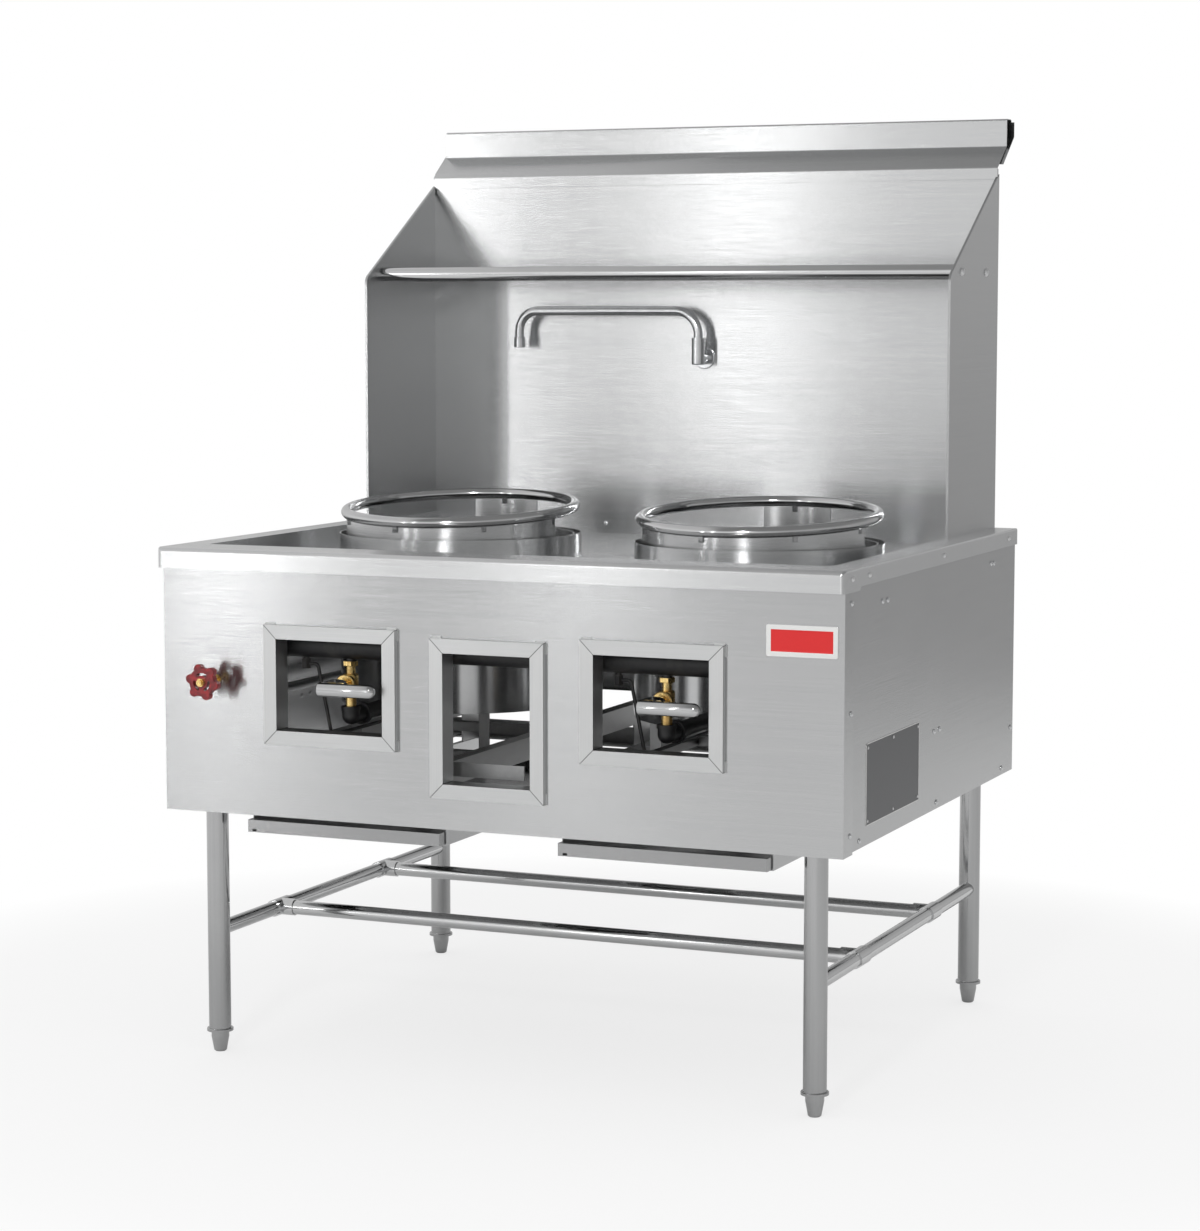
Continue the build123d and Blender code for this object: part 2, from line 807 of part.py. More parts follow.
def make_drum_legs():
    """Flat bars that stand on the cross bars and carry the drums' floors."""
    legs = []
    for side in (-1, 1):
        for across in (-1, 1):
            for along in (-1, 1):
                x = side * burner_spread + across * drum_leg_x
                y = burner_y + along * drum_leg_y
                legs.append(block(x - drum_leg_width / 2, x + drum_leg_width / 2,
                                  y - drum_leg_thickness / 2,
                                  y + drum_leg_thickness / 2,
                                  cross_bar_top, drum_bottom))
    return legs


def make_cross_bars():
    """Angle bars from rail to rail, two under each drum, and a short tie bar."""
    bars = []
    low = cross_bar_top - cross_bar_width
    for side in (-1, 1):
        x0 = side * burner_spread - rail_spread + rail_sheet
        x1 = side * burner_spread + rail_spread - rail_sheet
        for along in (-1, 1):
            y0 = burner_y + along * (drum_leg_y + cross_bar_width / 2)
            y1 = y0 - along * cross_bar_width
            bar = block(x0, x1, y0, y1, cross_bar_top - rail_sheet, cross_bar_top)
            bar += block(x0, x1, y0, y0 - along * rail_sheet, low, cross_bar_top)
            bars.append(bar)
    tie_start = rail_spread - burner_spread
    bars.append(block(tie_start, tie_bar_end, tie_bar_y, tie_bar_y + rail_sheet,
                      rail_top - tie_bar_height, rail_top))
    return bars


def make_ring_holder(side):
    """The inner cylinder that carries the wok ring: a tall front wall, a narrow
    rear wall, a sloping rim and a foot that sits in the drum."""
    x = side * burner_spread
    outer = holder_diameter / 2
    inner = outer - holder_sheet
    high = ring_height + outer / 3
    holder = rod_z(x, burner_y, holder_bottom, high, outer)
    holder += rod_z(x, burner_y, holder_bottom, holder_bottom + holder_sheet,
                    drum_radius - drum_sheet)
    holder -= rod_z(x, burner_y, holder_bottom - 1, high + 1, inner)
    rear = 90.0 - rear_wall_angle
    for start, end in ((front_wall_angle - 90.0, rear),
                       (90.0 + rear_wall_angle, 270.0 - front_wall_angle)):
        holder -= sector(x, burner_y, start, end, outer * 1.5, holder_notch, high + 1)
    corners = [edge for edge in holder.edges()
               if edge.length < holder_sheet * 1.5
               and abs(edge.center().Z - holder_notch) < 0.01]
    holder = fillet(corners, holder_corner)
    slope = Pos(x, burner_y, ring_height) * Rot(ring_tilt, 0, 0)
    rim_drop = ring_tube / 2 + ring_gap
    above = slope * Pos(0, 0, outer - rim_drop) * Box(4 * outer, 4 * outer, 2 * outer)
    return holder - above


def make_wok_ring(side):
    """The lift-off ring: a bent tube with forked lugs that straddle the holder."""
    x = side * burner_spread
    slope = Pos(x, burner_y, ring_height) * Rot(ring_tilt, 0, 0)
    ring = slope * Torus(ring_centre_radius, ring_tube / 2)
    middle = (holder_diameter - holder_sheet) / 2
    slot = holder_sheet + 2 * lug_gap
    roof = -ring_tube / 2
    half = lug_width / 2
    for angle in lug_angles:
        rise = middle * sin(radians(angle)) * tan(radians(ring_tilt))
        spot = Pos(x, burner_y, ring_height + rise) * Rot(0, 0, angle)
        fork = block(middle - slot / 2 - lug_prong, middle + slot / 2 + lug_prong,
                     -half, half, roof - lug_drop, 0)
        fork -= block(middle - slot / 2, middle + slot / 2, -half - 1, half + 1,
                      roof - lug_drop - 1, roof)
        ring += spot * fork
    return ring


def make_burner(side):
    """The cast jet burner: flange, bowl, side inlet and a crown of nozzles."""
    x = side * burner_spread
    seat = drum_bottom + drum_floor_sheet
    top = seat + burner_flange_thickness + burner_bowl_height
    flange = burner_flange_diameter / 2
    bowl = burner_bowl_diameter / 2
    step = seat + burner_flange_thickness
    body = turned([(0, seat), (flange, seat), (flange, step), (bowl, step),
                   (bowl, top - burner_bowl_slope - 2), (bowl - burner_bowl_slope, top), (0, top)], x, burner_y)
    inlet_end = burner_y - flange - burner_inlet_reach
    body += rod_y(x, inlet_end, burner_y, supply_height,
                  supply_diameter / 2 + burner_inlet_wall)
    body -= rod_y(x, inlet_end - 1, burner_y, supply_height,
                  supply_diameter / 2 - pipe_wall)
    for count, radius in ((1, 0.0), (6, jet_inner_radius), (12, jet_outer_radius)):
        for index in range(count):
            angle = radians(360.0 * index / count)
            jet_x = x + radius * cos(angle)
            jet_y = burner_y + radius * sin(angle)
            jet = Pos(jet_x, jet_y, top + jet_height / 2 - 1) * Cone(jet_base, jet_tip,
                                                                     jet_height + 2)
            body += jet
            body -= rod_z(jet_x, jet_y, top - 6, top + jet_height + 2, jet_bore)
    return body


def make_burner_rails():
    """Angle rails from front to rear of the base frame, raised on their ends."""
    rails = []
    y0 = panel_back + angle_thickness
    y1 = counter_depth - cabinet_sheet - angle_thickness
    for side in (-1, 1):
        for across in (-1, 1):
            face = side * burner_spread + across * rail_spread
            edge = face - across * rail_width
            rail = block(face - across * rail_sheet, face, y0, y1, base_top, rail_top)
            rail += block(edge, face, y0, y1, rail_top - rail_sheet, rail_top)
            slot = block(face - across * 2 * rail_sheet, face + across * rail_sheet,
                         y0 + gusset_size, y1 - gusset_size, base_top - 1,
                         rail_top - rail_height)
            rails.append(rail - slot)
    return rails


for name, drum in both_sides(make_drum).items():
    parts[name + "_burner_drum"] = drum
for name, holder in both_sides(make_ring_holder).items():
    parts[name + "_ring_holder"] = holder
for name, ring in both_sides(make_wok_ring).items():
    parts[name + "_wok_ring"] = ring
for name, burner in both_sides(make_burner).items():
    parts[name + "_jet_burner"] = burner
parts["drum_legs"] = make_drum_legs()
parts["drum_cross_bars"] = make_cross_bars()
parts["burner_rails"] = make_burner_rails()


# ---------------------------------------------------------------- gas train
def make_manifold():
    """The capped front pipe with a short nipple above each valve and pilot."""
    y = manifold_y
    z = manifold_height
    pipe = rod_x(manifold_left, manifold_right, y, z, manifold_radius)
    for end, inward in ((manifold_left, 1), (manifold_right, -1)):
        cap = rod_x(end, end + inward * cap_length, y, z, manifold_radius + 2.5)
        pipe += fillet(cap.edges().filter_by(GeomType.CIRCLE), 1.5)
    for side in (-1, 1):
        x = side * burner_spread
        pipe += rod_z(x, y, valve_top, z, valve_neck_diameter / 2)
        pipe += rod_z(x - pilot_offset, y, pilot_top, z, pilot_body_diameter / 2 - 2)
    pipe -= rod_x(manifold_left + pipe_wall * 2, manifold_right - pipe_wall * 2, y, z,
                  manifold_radius - pipe_wall)
    for side in (-1, 1):
        pipe -= rod_z(side * burner_spread, y, valve_top - 1, z,
                      valve_neck_diameter / 2 - pipe_wall)
    return pipe - rod_y(inlet_x, y, y + manifold_diameter, z,
                        inlet_diameter / 2 - pipe_wall)


def make_hangers():
    """Saddles that hang the manifold from the back of the front panel."""
    hangers = []
    for side in (-1, 1):
        x = side * hanger_spread
        x0 = x - hanger_width / 2
        x1 = x + hanger_width / 2
        top = manifold_height + manifold_radius + hanger_thickness
        hanger = block(x0, x1, panel_back, manifold_y, manifold_height, top)
        hanger -= rod_x(x0 - 1, x1 + 1, manifold_y, manifold_height, manifold_radius)
        hanger -= block(x0 - 1, x1 + 1, panel_back + hanger_thickness,
                        manifold_y - manifold_radius - hanger_thickness,
                        manifold_height - 1, top - hanger_thickness)
        hangers.append(hanger)
    return hangers


def make_gas_valve(side):
    """A brass quarter-turn valve: union nut, neck, body, bonnet and tail."""
    x = side * burner_spread
    y = manifold_y
    nut_bottom = valve_top - valve_nut_height
    body_top = valve_height + valve_body_height / 2
    body_bottom = valve_height - valve_body_height / 2
    valve = chamfer(hexagon_z(x, y, nut_bottom, valve_top, valve_nut_flats)
                    .edges().group_by(Axis.Z)[0], 1.0)
    valve += rod_z(x, y, body_top - 4, nut_bottom, valve_neck_diameter / 2)
    body = rod_z(x, y, body_bottom, body_top, valve_body_diameter / 2)
    valve += fillet(body.edges().filter_by(GeomType.CIRCLE), 3.0)
    valve += rod_z(x, y, valve_bottom, body_bottom + 4, valve_tail_diameter / 2)
    valve += rod_y(x, bonnet_front + bonnet_thickness - 1, y, valve_height,
                   valve_body_diameter / 2 - 2)
    bonnet = rod_y(x, bonnet_front, bonnet_front + bonnet_thickness, valve_height,
                   bonnet_diameter / 2)
    valve += chamfer(bonnet.edges().group_by(Axis.Y)[0], 1.5)
    return valve - rod_y(x, bonnet_front - 1, bonnet_front + stem_depth, valve_height,
                         stem_diameter / 2 + running_gap)


def make_supply_pipe(side):
    """A banded elbow below the valve and a straight pipe into the burner."""
    x = side * burner_spread
    y = manifold_y
    z = supply_height
    radius = elbow_diameter / 2
    pipe = Pos(x, y, z) * Sphere(radius - 1.5)
    pipe += rod_z(x, y, z, valve_bottom, radius - 1.5)
    pipe += rod_z(x, y, valve_bottom - elbow_band, valve_bottom, radius)
    pipe += rod_y(x, y, y + elbow_reach, z, radius - 1.5)
    band = rod_y(x, y + elbow_reach, y + elbow_reach + 2 * elbow_band, z,
                 elbow_band_diameter / 2)
    pipe += fillet(band.edges().filter_by(GeomType.CIRCLE), 1.5)
    end = burner_y - burner_flange_diameter / 2 - burner_inlet_reach
    pipe += rod_y(x, y + elbow_reach, end, z, supply_diameter / 2)
    return pipe - rod_y(x, y, end + 1, z, supply_diameter / 2 - pipe_wall)


def make_lever(side):
    """The knee lever: a strip from the valve's stem out through the window,
    folded along the front of the range, with a rounded end."""
    x = side * burner_spread
    left = x - lever_left
    right = x + lever_right
    route = [(x + lever_left, lever_tab), (left, lever_tab), (left, lever_front),
             (right, lever_front)]
    lever = folded_in_xy(route, lever_sheet, lever_bend,
                         valve_height - lever_height / 2, valve_height + lever_height / 2)
    for end, face in ((right, lever_front), (x + lever_left, lever_tab)):
        tips = [edge for edge in lever.edges().filter_by(Axis.Y)
                if abs(edge.center().X - end) < 0.01
                and abs(edge.center().Y - face) < lever_sheet]
        lever = fillet(tips, lever_height / 2 - 0.5)
    return lever - rod_y(x, lever_tab - lever_sheet - 1, lever_tab + lever_sheet + 1,
                         valve_height, stem_diameter / 2)


def make_lever_stem(side):
    """The valve's stem with the nut that clamps the lever on it."""
    x = side * burner_spread
    nut_back = lever_tab - lever_sheet
    stem = rod_y(x, stem_front, bonnet_front + stem_depth - 1, valve_height,
                 stem_diameter / 2)
    stem += rod_y(x, lever_tab, bonnet_front - 0.5, valve_height,
                  stem_diameter / 2 + 2.5)
    return stem + hexagon_y(x, nut_back - lever_nut_thickness, nut_back, valve_height,
                            lever_nut_flats)


def make_gas_inlet():
    """The supply pipe from the manifold's end back through the rear panel."""
    radius = inlet_diameter / 2
    end = counter_depth + inlet_reach
    pipe = rod_y(inlet_x, manifold_y, end, manifold_height, radius)
    pipe -= rod_x(inlet_x - 40, inlet_x + 40, manifold_y, manifold_height,
                  manifold_radius)
    pipe -= thread_relief(inlet_x, manifold_height, radius)
    return pipe - rod_y(inlet_x, manifold_y, end + 1, manifold_height,
                        radius - pipe_wall)


def make_pilot_line(side):
    """A pilot cock under the manifold and its thin tube down to the burner."""
    x = side * burner_spread - pilot_offset
    y = manifold_y
    low = pilot_top - pilot_body_height
    level = low + pilot_body_height / 2
    body = hexagon_z(x, y, low, pilot_top, pilot_body_diameter)
    foot = side * burner_spread - pilot_foot
    port = drum_bottom + drum_floor_sheet
    route = [(x + pilot_jog / 2, y, level), (x + pilot_run, y, level),
             (foot, y + pilot_jog, pilot_low),
             (foot, burner_y - pilot_port, pilot_low),
             (foot, burner_y - pilot_port, port)]
    return body + bent_tube(route, pilot_tube / 2, 0, list(pilot_bends))


parts["gas_manifold"] = make_manifold()
parts["manifold_hangers"] = make_hangers()
parts["gas_inlet_pipe"] = make_gas_inlet()
parts["supply_pipes"] = [make_supply_pipe(-1), make_supply_pipe(1)]
for name, valve in both_sides(make_gas_valve).items():
    parts[name + "_gas_valve"] = valve
for name, lever in both_sides(make_lever).items():
    parts[name + "_knee_lever"] = lever
for name, stem in both_sides(make_lever_stem).items():
    parts[name + "_lever_stem"] = stem
parts["pilot_lines"] = [make_pilot_line(-1), make_pilot_line(1)]


# -------------------------------------------------------------------- water
def make_handwheel():
    """A cast wheel with six finger lobes, three arc slots and a hub."""
    plane = Plane((wheel_x, wheel_front, wheel_height), x_dir=(1, 0, 0),
                  z_dir=(0, 1, 0))
    outline = Sketch() + Circle(wheel_lobe_radius + 1.5)
    for index in range(6):
        outline += Rot(0, 0, 60 * index + 12) * Pos(wheel_diameter / 2 - wheel_lobe / 2
                                                    - 1.5, 0) * Circle(wheel_lobe)
    wheel = extrude(plane * outline, wheel_thickness)
    wheel = fillet(wheel.edges().group_by(Axis.Y)[0], 1.6)
    for index in range(3):
        arc = CenterArc((0, 0), wheel_slot_radius, 120 * index, wheel_slot_sweep)
        slot = SlotArc(arc, wheel_slot_width)
        wheel -= extrude(plane * slot, wheel_thickness)
    hub_back = wheel_back + 6
    wheel += rod_y(wheel_x, wheel_front, hub_back, wheel_height, wheel_hub / 2)
    return wheel - rod_y(wheel_x, wheel_front - 1, hub_back + 1, wheel_height,
                         wheel_stem_diameter / 2)


def make_water_stem():
    """The valve's stem: through the bonnet, through the wheel, nut in front."""
    stem = rod_y(wheel_x, wheel_front - 5, water_valve_y - 8, wheel_height,
                 wheel_stem_diameter / 2)
    stem += rod_y(wheel_x, wheel_back + 6, wheel_back + 9, wheel_height,
                  wheel_stem_diameter / 2 + 3)
    return stem


def make_wheel_nut():
    nut = hexagon_y(wheel_x, wheel_front - 5, wheel_front, wheel_height, wheel_nut_flats)
    nut += rod_y(wheel_x, front_reach, wheel_front - 5, wheel_height,
                 wheel_nut_flats / 2 - 1.5)
    return nut - rod_y(wheel_x, wheel_front - 5, wheel_front + 1, wheel_height,
                       wheel_stem_diameter / 2)


def make_water_valve():
    """A brass globe valve behind the panel, with its bonnet through the hole."""
    half = water_body_height / 2
    waist = water_body_diameter / 2
    end = waist - 3
    low = wheel_height - half
    valve = turned([(0, low), (end, low), (end, low + 10), (waist, wheel_height - 8),
                    (waist, wheel_height + 8), (end, wheel_height + half - 10),
                    (end, wheel_height + half), (0, wheel_height + half)],
                   wheel_x, water_valve_y)
    valve += rod_y(wheel_x, water_valve_front, water_valve_y, wheel_height,
                   water_bonnet_diameter / 2)
    packing = water_valve_front - water_packing_reach
    valve += rod_y(wheel_x, packing, water_valve_front, wheel_height,
                   water_packing_diameter / 2)
    return valve - rod_y(wheel_x, packing - 1, water_valve_y - 6, wheel_height,
                         wheel_stem_diameter / 2 + running_gap)


def make_water_pipe():
    """From the valve back along the side, up behind the splash and forward."""
    start = wheel_height + water_body_height / 2
    route = [(wheel_x, water_valve_y, start), (wheel_x, water_valve_y, water_level),
             (water_pipe_x, water_valve_y + water_jog, water_level),
             (water_pipe_x, water_riser_y, water_level),
             (water_pipe_x, water_riser_y, faucet_tap_height),
             (0, water_riser_y, faucet_tap_height),
             (0, splash_y + splash_sheet, faucet_tap_height)]
    radius = water_pipe_diameter / 2
    return bent_tube(route, radius, radius - water_pipe_wall, list(water_pipe_bends))


def make_water_inlet():
    """From a stub behind the range to the underside of the valve."""
    start = wheel_height - water_body_height / 2
    route = [(wheel_x, water_valve_y, start), (wheel_x, water_valve_y, water_inlet_level),
             (water_pipe_x, water_valve_y + water_jog, water_inlet_level),
             (water_pipe_x, counter_depth + inlet_reach, water_inlet_level)]
    radius = water_pipe_diameter / 2
    pipe = bent_tube(route, radius, radius - water_inlet_wall, list(water_inlet_bends))
    return pipe - thread_relief(water_pipe_x, water_inlet_level, radius)


def make_faucet_flange():
    flange = rod_y(0, splash_y - flange_thickness, splash_y, faucet_tap_height,
                   flange_diameter / 2)
    flange = fillet(flange.edges().group_by(Axis.Y)[0], 1.5)
    return flange - rod_y(0, splash_y - flange_thickness - 1, splash_y + 1,
                          faucet_tap_height, faucet_nipple_diameter / 2)


def make_faucet_body():
    """The upright body that the spout turns in, on its nipple from the wall."""
    radius = faucet_body_diameter / 2
    top = faucet_height + faucet_body_height
    body = rod_z(0, faucet_y, faucet_height, top, radius)
    body = fillet(body.edges().group_by(Axis.Z)[0], 2.0)
    body += rod_y(0, faucet_y, splash_y + splash_sheet, faucet_tap_height,
                  faucet_nipple_diameter / 2)
    return body - rod_z(0, faucet_y, spout_seat, top + 1,
                        spout_diameter / 2 + running_gap)


def make_spout():
    """The swinging spout: up from the body, across, and down to the nozzle."""
    radius = spout_diameter / 2
    seat = spout_seat + 0.4
    end = nozzle_bottom + nozzle_height
    route = [(0, faucet_y, seat), (0, faucet_y, spout_height),
             (-spout_reach, faucet_y, spout_height), (-spout_reach, faucet_y, end - 4)]
    spout = bent_tube(route, radius, radius - spout_wall, [spout_bend, nozzle_bend])
    nozzle = rod_z(-spout_reach, faucet_y, nozzle_bottom, end, nozzle_diameter / 2)
    nozzle = chamfer(nozzle.edges().filter_by(GeomType.CIRCLE), 0.8)
    spout += nozzle - rod_z(-spout_reach, faucet_y, end - 4, end + 1, radius - 0.5)
    return spout - rod_z(-spout_reach, faucet_y, nozzle_bottom - 1, end - 3,
                         radius - spout_wall)


parts["water_handwheel"] = make_handwheel()
parts["water_valve_stem"] = make_water_stem()
parts["handwheel_nut"] = make_wheel_nut()
parts["water_valve"] = make_water_valve()
parts["water_pipe"] = make_water_pipe()
parts["water_inlet_pipe"] = make_water_inlet()
parts["faucet_flange"] = make_faucet_flange()
parts["faucet_body"] = make_faucet_body()
parts["faucet_spout"] = make_spout()


# ------------------------------------------------------------------- splash
def make_splash_panel():
    back = splash_y + splash_sheet
    panel = block(-splash_inner, splash_inner, splash_y, back, counter_height,
                  cap_lip_top - cap_bend)
    panel += block(-well_half, well_half, splash_y, back, well_floor, counter_height)
    return panel - rod_y(0, splash_y - 1, back + 1, faucet_tap_height,
                         faucet_nipple_diameter / 2)


def make_wing(side):
    """A side wing with a rounded knuckle and a hem along its open edges."""
    slope = atan2(wing_top - wing_knuckle, wing_rear - wing_front)
    outline = [(wing_front, counter_height), (wing_rear, counter_height),
               (wing_rear, wing_top), (wing_front, wing_knuckle)]
    radii = [0.0, 0.0, 0.0, wing_round]
    outer = side * splash_half
    inner = side * splash_inner
    wing = plate_in_yz(outline, inner, outer, radii)
    rim = plate_in_yz(outline, side * (splash_half - hem_width), outer, radii)
    rise = tan(slope)
    drop = hem_depth / cos(slope)
    low = counter_height - 1
    core = [(wing_front + hem_depth, low), (wing_rear + 1, low),
            (wing_rear + 1, wing_top + rise - drop),
            (wing_front + hem_depth, wing_knuckle + hem_depth * rise - drop)]
    rim -= plate_in_yz(core, -splash_half - 1, splash_half + 1,
                       [0.0, 0.0, 0.0, wing_round - hem_depth])
    rim -= block(-splash_half - 1, splash_half + 1, cap_lip_y, wing_rear + 1,
                 low, wing_top + 1)
    wing += rim
    for y in (front_rod_y, rear_rod_y):
        wing -= rod_x(side * splash_half - 9, side * splash_half + 9, y, rod_height,
                      rod_bolt_shank / 2 + running_gap)
    return wing


def make_splash_cap():
    """The folded crown: lip, slope, upright strip and top return, with a rear
    sheet that comes back down behind the slope and stands out at both ends."""
    rear = cap_face_y + cap_return
    turn = cap_top - cap_rear_drop
    foot = (rear - cap_rear_slope_depth, turn - cap_rear_slope_rise)
    route = [foot, (rear, turn), (rear, cap_top), (cap_face_y, cap_top),
             (cap_face_y, cap_face_bottom), (cap_lip_y, cap_lip_top),
             (cap_lip_y, cap_lip_bottom)]
    cap = folded_in_yz(route, splash_sheet, cap_bend, -splash_inner, splash_inner)
    end = splash_half + cap_rear_overhang
    cap += folded_in_yz([foot, (rear, turn), (rear, cap_top - 2 * cap_bend)],
                        splash_sheet, cap_bend, -end, end)
    cap += block(-splash_inner, splash_inner, cap_lip_y, splash_y, cap_lip_bottom,
                 cap_lip_bottom + splash_sheet)
    return cap


def make_shelf_rod(y):
    """A rack tube between the wings, plugged at both ends for its bolts."""
    radius = rod_diameter / 2
    tube = rod_x(-splash_inner, splash_inner, y, rod_height, radius)
    tube -= rod_x(-splash_inner + rod_plug, splash_inner - rod_plug, y, rod_height,
                  radius - rod_wall)
    return tube - rod_x(-splash_inner - 1, splash_inner + 1, y, rod_height,
                        rod_bolt_shank / 2 + running_gap)


def make_rod_bolts():
    return [dome_x(side * splash_half, y, rod_height, side, rod_bolt_head,
                   rod_bolt_rise, rod_bolt_shank, splash_sheet + rod_plug - 2)
            for side in (-1, 1) for y in (front_rod_y, rear_rod_y)]


parts["splash_panel"] = make_splash_panel()
for name, wing in both_sides(make_wing).items():
    parts[name + "_wing"] = wing
parts["splash_cap"] = make_splash_cap()
parts["rack_rods"] = [make_shelf_rod(front_rod_y), make_shelf_rod(rear_rod_y)]
parts["rack_rod_bolts"] = make_rod_bolts()


# --------------------------------------------------------------- drip trays
def make_tray(side):
    """An open tray, five flat sheets welded at their edges: a floor, two sides, a
    rear wall, and a notched front wall with a turned lip to pull it by."""
    left = side * tray_spread - tray_width / 2
    right = left + tray_width
    back = tray_front + tray_length
    low = tray_bottom + tray_sheet
    top = tray_bottom + tray_height
    floor = block(left, right, tray_front, back, tray_bottom, low)
    sides = [block(edge, edge + tray_sheet, tray_front, back, low, top)
             for edge in (left, right - tray_sheet)]
    left += tray_sheet
    right -= tray_sheet
    rear = block(left, right, back - tray_sheet, back, low, top)
    front = block(left, right, tray_front, tray_front + tray_sheet, low, top)
    front += block(left, right, tray_front, tray_front + tray_pull, top - tray_sheet, top)
    notch = left + notch_inset - tray_sheet
    cut = block(notch, notch + notch_width, tray_front - 1, tray_front + tray_sheet,
                tray_bottom - 1, tray_bottom + notch_height)
    return [floor - cut, *sides, rear, front - cut]


def make_runners():
    """Runners under the base frame, one each side of each tray: a top strip, a
    hanging strip and a ledge, three flat bars welded edge to face."""
    bars = []
    ledge = tray_bottom - tray_lift - runner_sheet
    strip = base_bottom - runner_sheet
    y0 = tray_front + runner_setback
    y1 = counter_depth - cabinet_sheet - angle_thickness
    for side in (-1, 1):
        for across in (-1, 1):
            web = side * tray_spread + across * (tray_width / 2 + runner_gap)
            outside = web + across * runner_sheet
            lower = web - across * (runner_flange - runner_gap)
            upper = web + across * runner_flange
            bars.append(block(lower, outside, y0, y1, ledge, ledge + runner_sheet))
            bars.append(block(web, outside, y0, y1, ledge + runner_sheet, strip))
            bars.append(block(web, upper, y0, y1, strip, base_bottom))
    return bars


for name, tray in both_sides(make_tray).items():
    parts[name + "_drip_tray"] = tray
parts["tray_runners"] = make_runners()


# ------------------------------------------------------------------- export
def as_solids(piece):
    """The separate solids of a piece or of a group of pieces."""
    pieces = piece if isinstance(piece, list) else [piece]
    return [solid for item in pieces for solid in item.solids()]


os.makedirs("parts", exist_ok=True)
place = Location((0, -origin_y, 0))
for name, piece in parts.items():
    solids = [solid.moved(place) for solid in as_solids(piece)]
    shape = solids[0] if len(solids) == 1 else Compound(children=solids)
    export_step(shape, os.path.join("parts", name + ".step"))
print(len(parts), "nodes; the counter's front face is at y =", round(-origin_y, 2))
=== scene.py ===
# %% [markdown]
# # A two-burner wok range
# This notebook dresses a stainless wok range that a CAD model has already
# shaped. The sheets, tubes, valves and burners arrive finished in form, so the
# work here is their surfaces, the small fasteners, two bare plates, the round
# grips of two levers and the studio. Every cell prints what it made.

# %% Load the range
import math
import bmesh
import bpy
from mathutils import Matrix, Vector


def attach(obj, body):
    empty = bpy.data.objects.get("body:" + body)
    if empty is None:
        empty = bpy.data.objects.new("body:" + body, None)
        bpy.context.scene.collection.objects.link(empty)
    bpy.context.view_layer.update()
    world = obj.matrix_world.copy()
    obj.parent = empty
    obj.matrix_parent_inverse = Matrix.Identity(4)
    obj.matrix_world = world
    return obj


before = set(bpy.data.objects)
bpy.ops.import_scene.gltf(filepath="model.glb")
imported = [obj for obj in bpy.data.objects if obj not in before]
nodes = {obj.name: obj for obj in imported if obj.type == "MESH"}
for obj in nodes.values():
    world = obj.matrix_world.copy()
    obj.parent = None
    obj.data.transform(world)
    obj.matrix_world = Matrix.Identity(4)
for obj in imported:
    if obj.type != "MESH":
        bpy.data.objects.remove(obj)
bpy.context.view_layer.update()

# %% [markdown]
# ## Sizes that the scene shares with the shop drawing
# The drawing measures depth from the front of the counter's lip. The model's
# origin is under the middle of the range, so one shift carries any depth from
# the drawing to the scene.

# %% Depth from the drawing
MM = 0.001
LIP_DEPTH = 508.0


def spot(x, y, z):
    """A point of the shop drawing, in millimetres, as a scene position."""
    return Vector((x * MM, (y - LIP_DEPTH) * MM, z * MM))


print("the lip's front is at y =", round(spot(0, 0, 0).y, 3))

# %% [markdown]
# ## The camera
# The view is that of someone standing a few steps back to the right of the
# range. The lens is long, so the upright legs stay nearly parallel. A tracking
# constraint could aim the camera, but its place and its two turns are written
# out instead, so that moving a piece never moves the view.

# %% Camera
VIEWPOINT = (2066.4, -4348.6, 1277.6)
TILT_DOWN = 5.866
TURN_LEFT = 23.196
LENS_LENGTH = 87.99
FILM_WIDTH = 36.0
FAR_CLIP = 100.0
camera_data = bpy.data.cameras.new("viewer")
camera = bpy.data.objects.new("viewer", camera_data)
bpy.context.scene.collection.objects.link(camera)
camera_data.lens = LENS_LENGTH
camera_data.sensor_width = FILM_WIDTH
camera_data.clip_end = FAR_CLIP
camera.location = spot(*VIEWPOINT)
camera.rotation_euler = (math.radians(90 - TILT_DOWN), 0, math.radians(TURN_LEFT))
bpy.context.scene.camera = camera
print("camera at", [round(v, 3) for v in camera.location])

# %% [markdown]
# ## Writing shader maths as sums
# A shader is a chain of small nodes, and wiring each sum by hand hides what it
# says. The class below wraps a node's output so that `1 - mask` or
# `wave * 0.4 + 0.2` adds the Math nodes by itself. A second class holds one
# material and adds any other node from its type, its settings and its inputs.

# %% Sums between nodes


class Wire:
    """A value on its way between two shader nodes."""

    def __init__(self, finish, socket):
        self.finish = finish
        self.socket = socket

    def __add__(self, other):
        return self.finish.math("ADD", self, other)

    def __radd__(self, other):
        return self.finish.math("ADD", other, self)

    def __sub__(self, other):
        return self.finish.math("SUBTRACT", self, other)

    def __rsub__(self, other):
        return self.finish.math("SUBTRACT", other, self)

    def __mul__(self, other):
        return self.finish.math("MULTIPLY", self, other)

    def __rmul__(self, other):
        return self.finish.math("MULTIPLY", other, self)

    def __abs__(self):
        return self.finish.math("ABSOLUTE", self)


print("a sum between nodes can be written as it is read")

# %% A finish, node by node


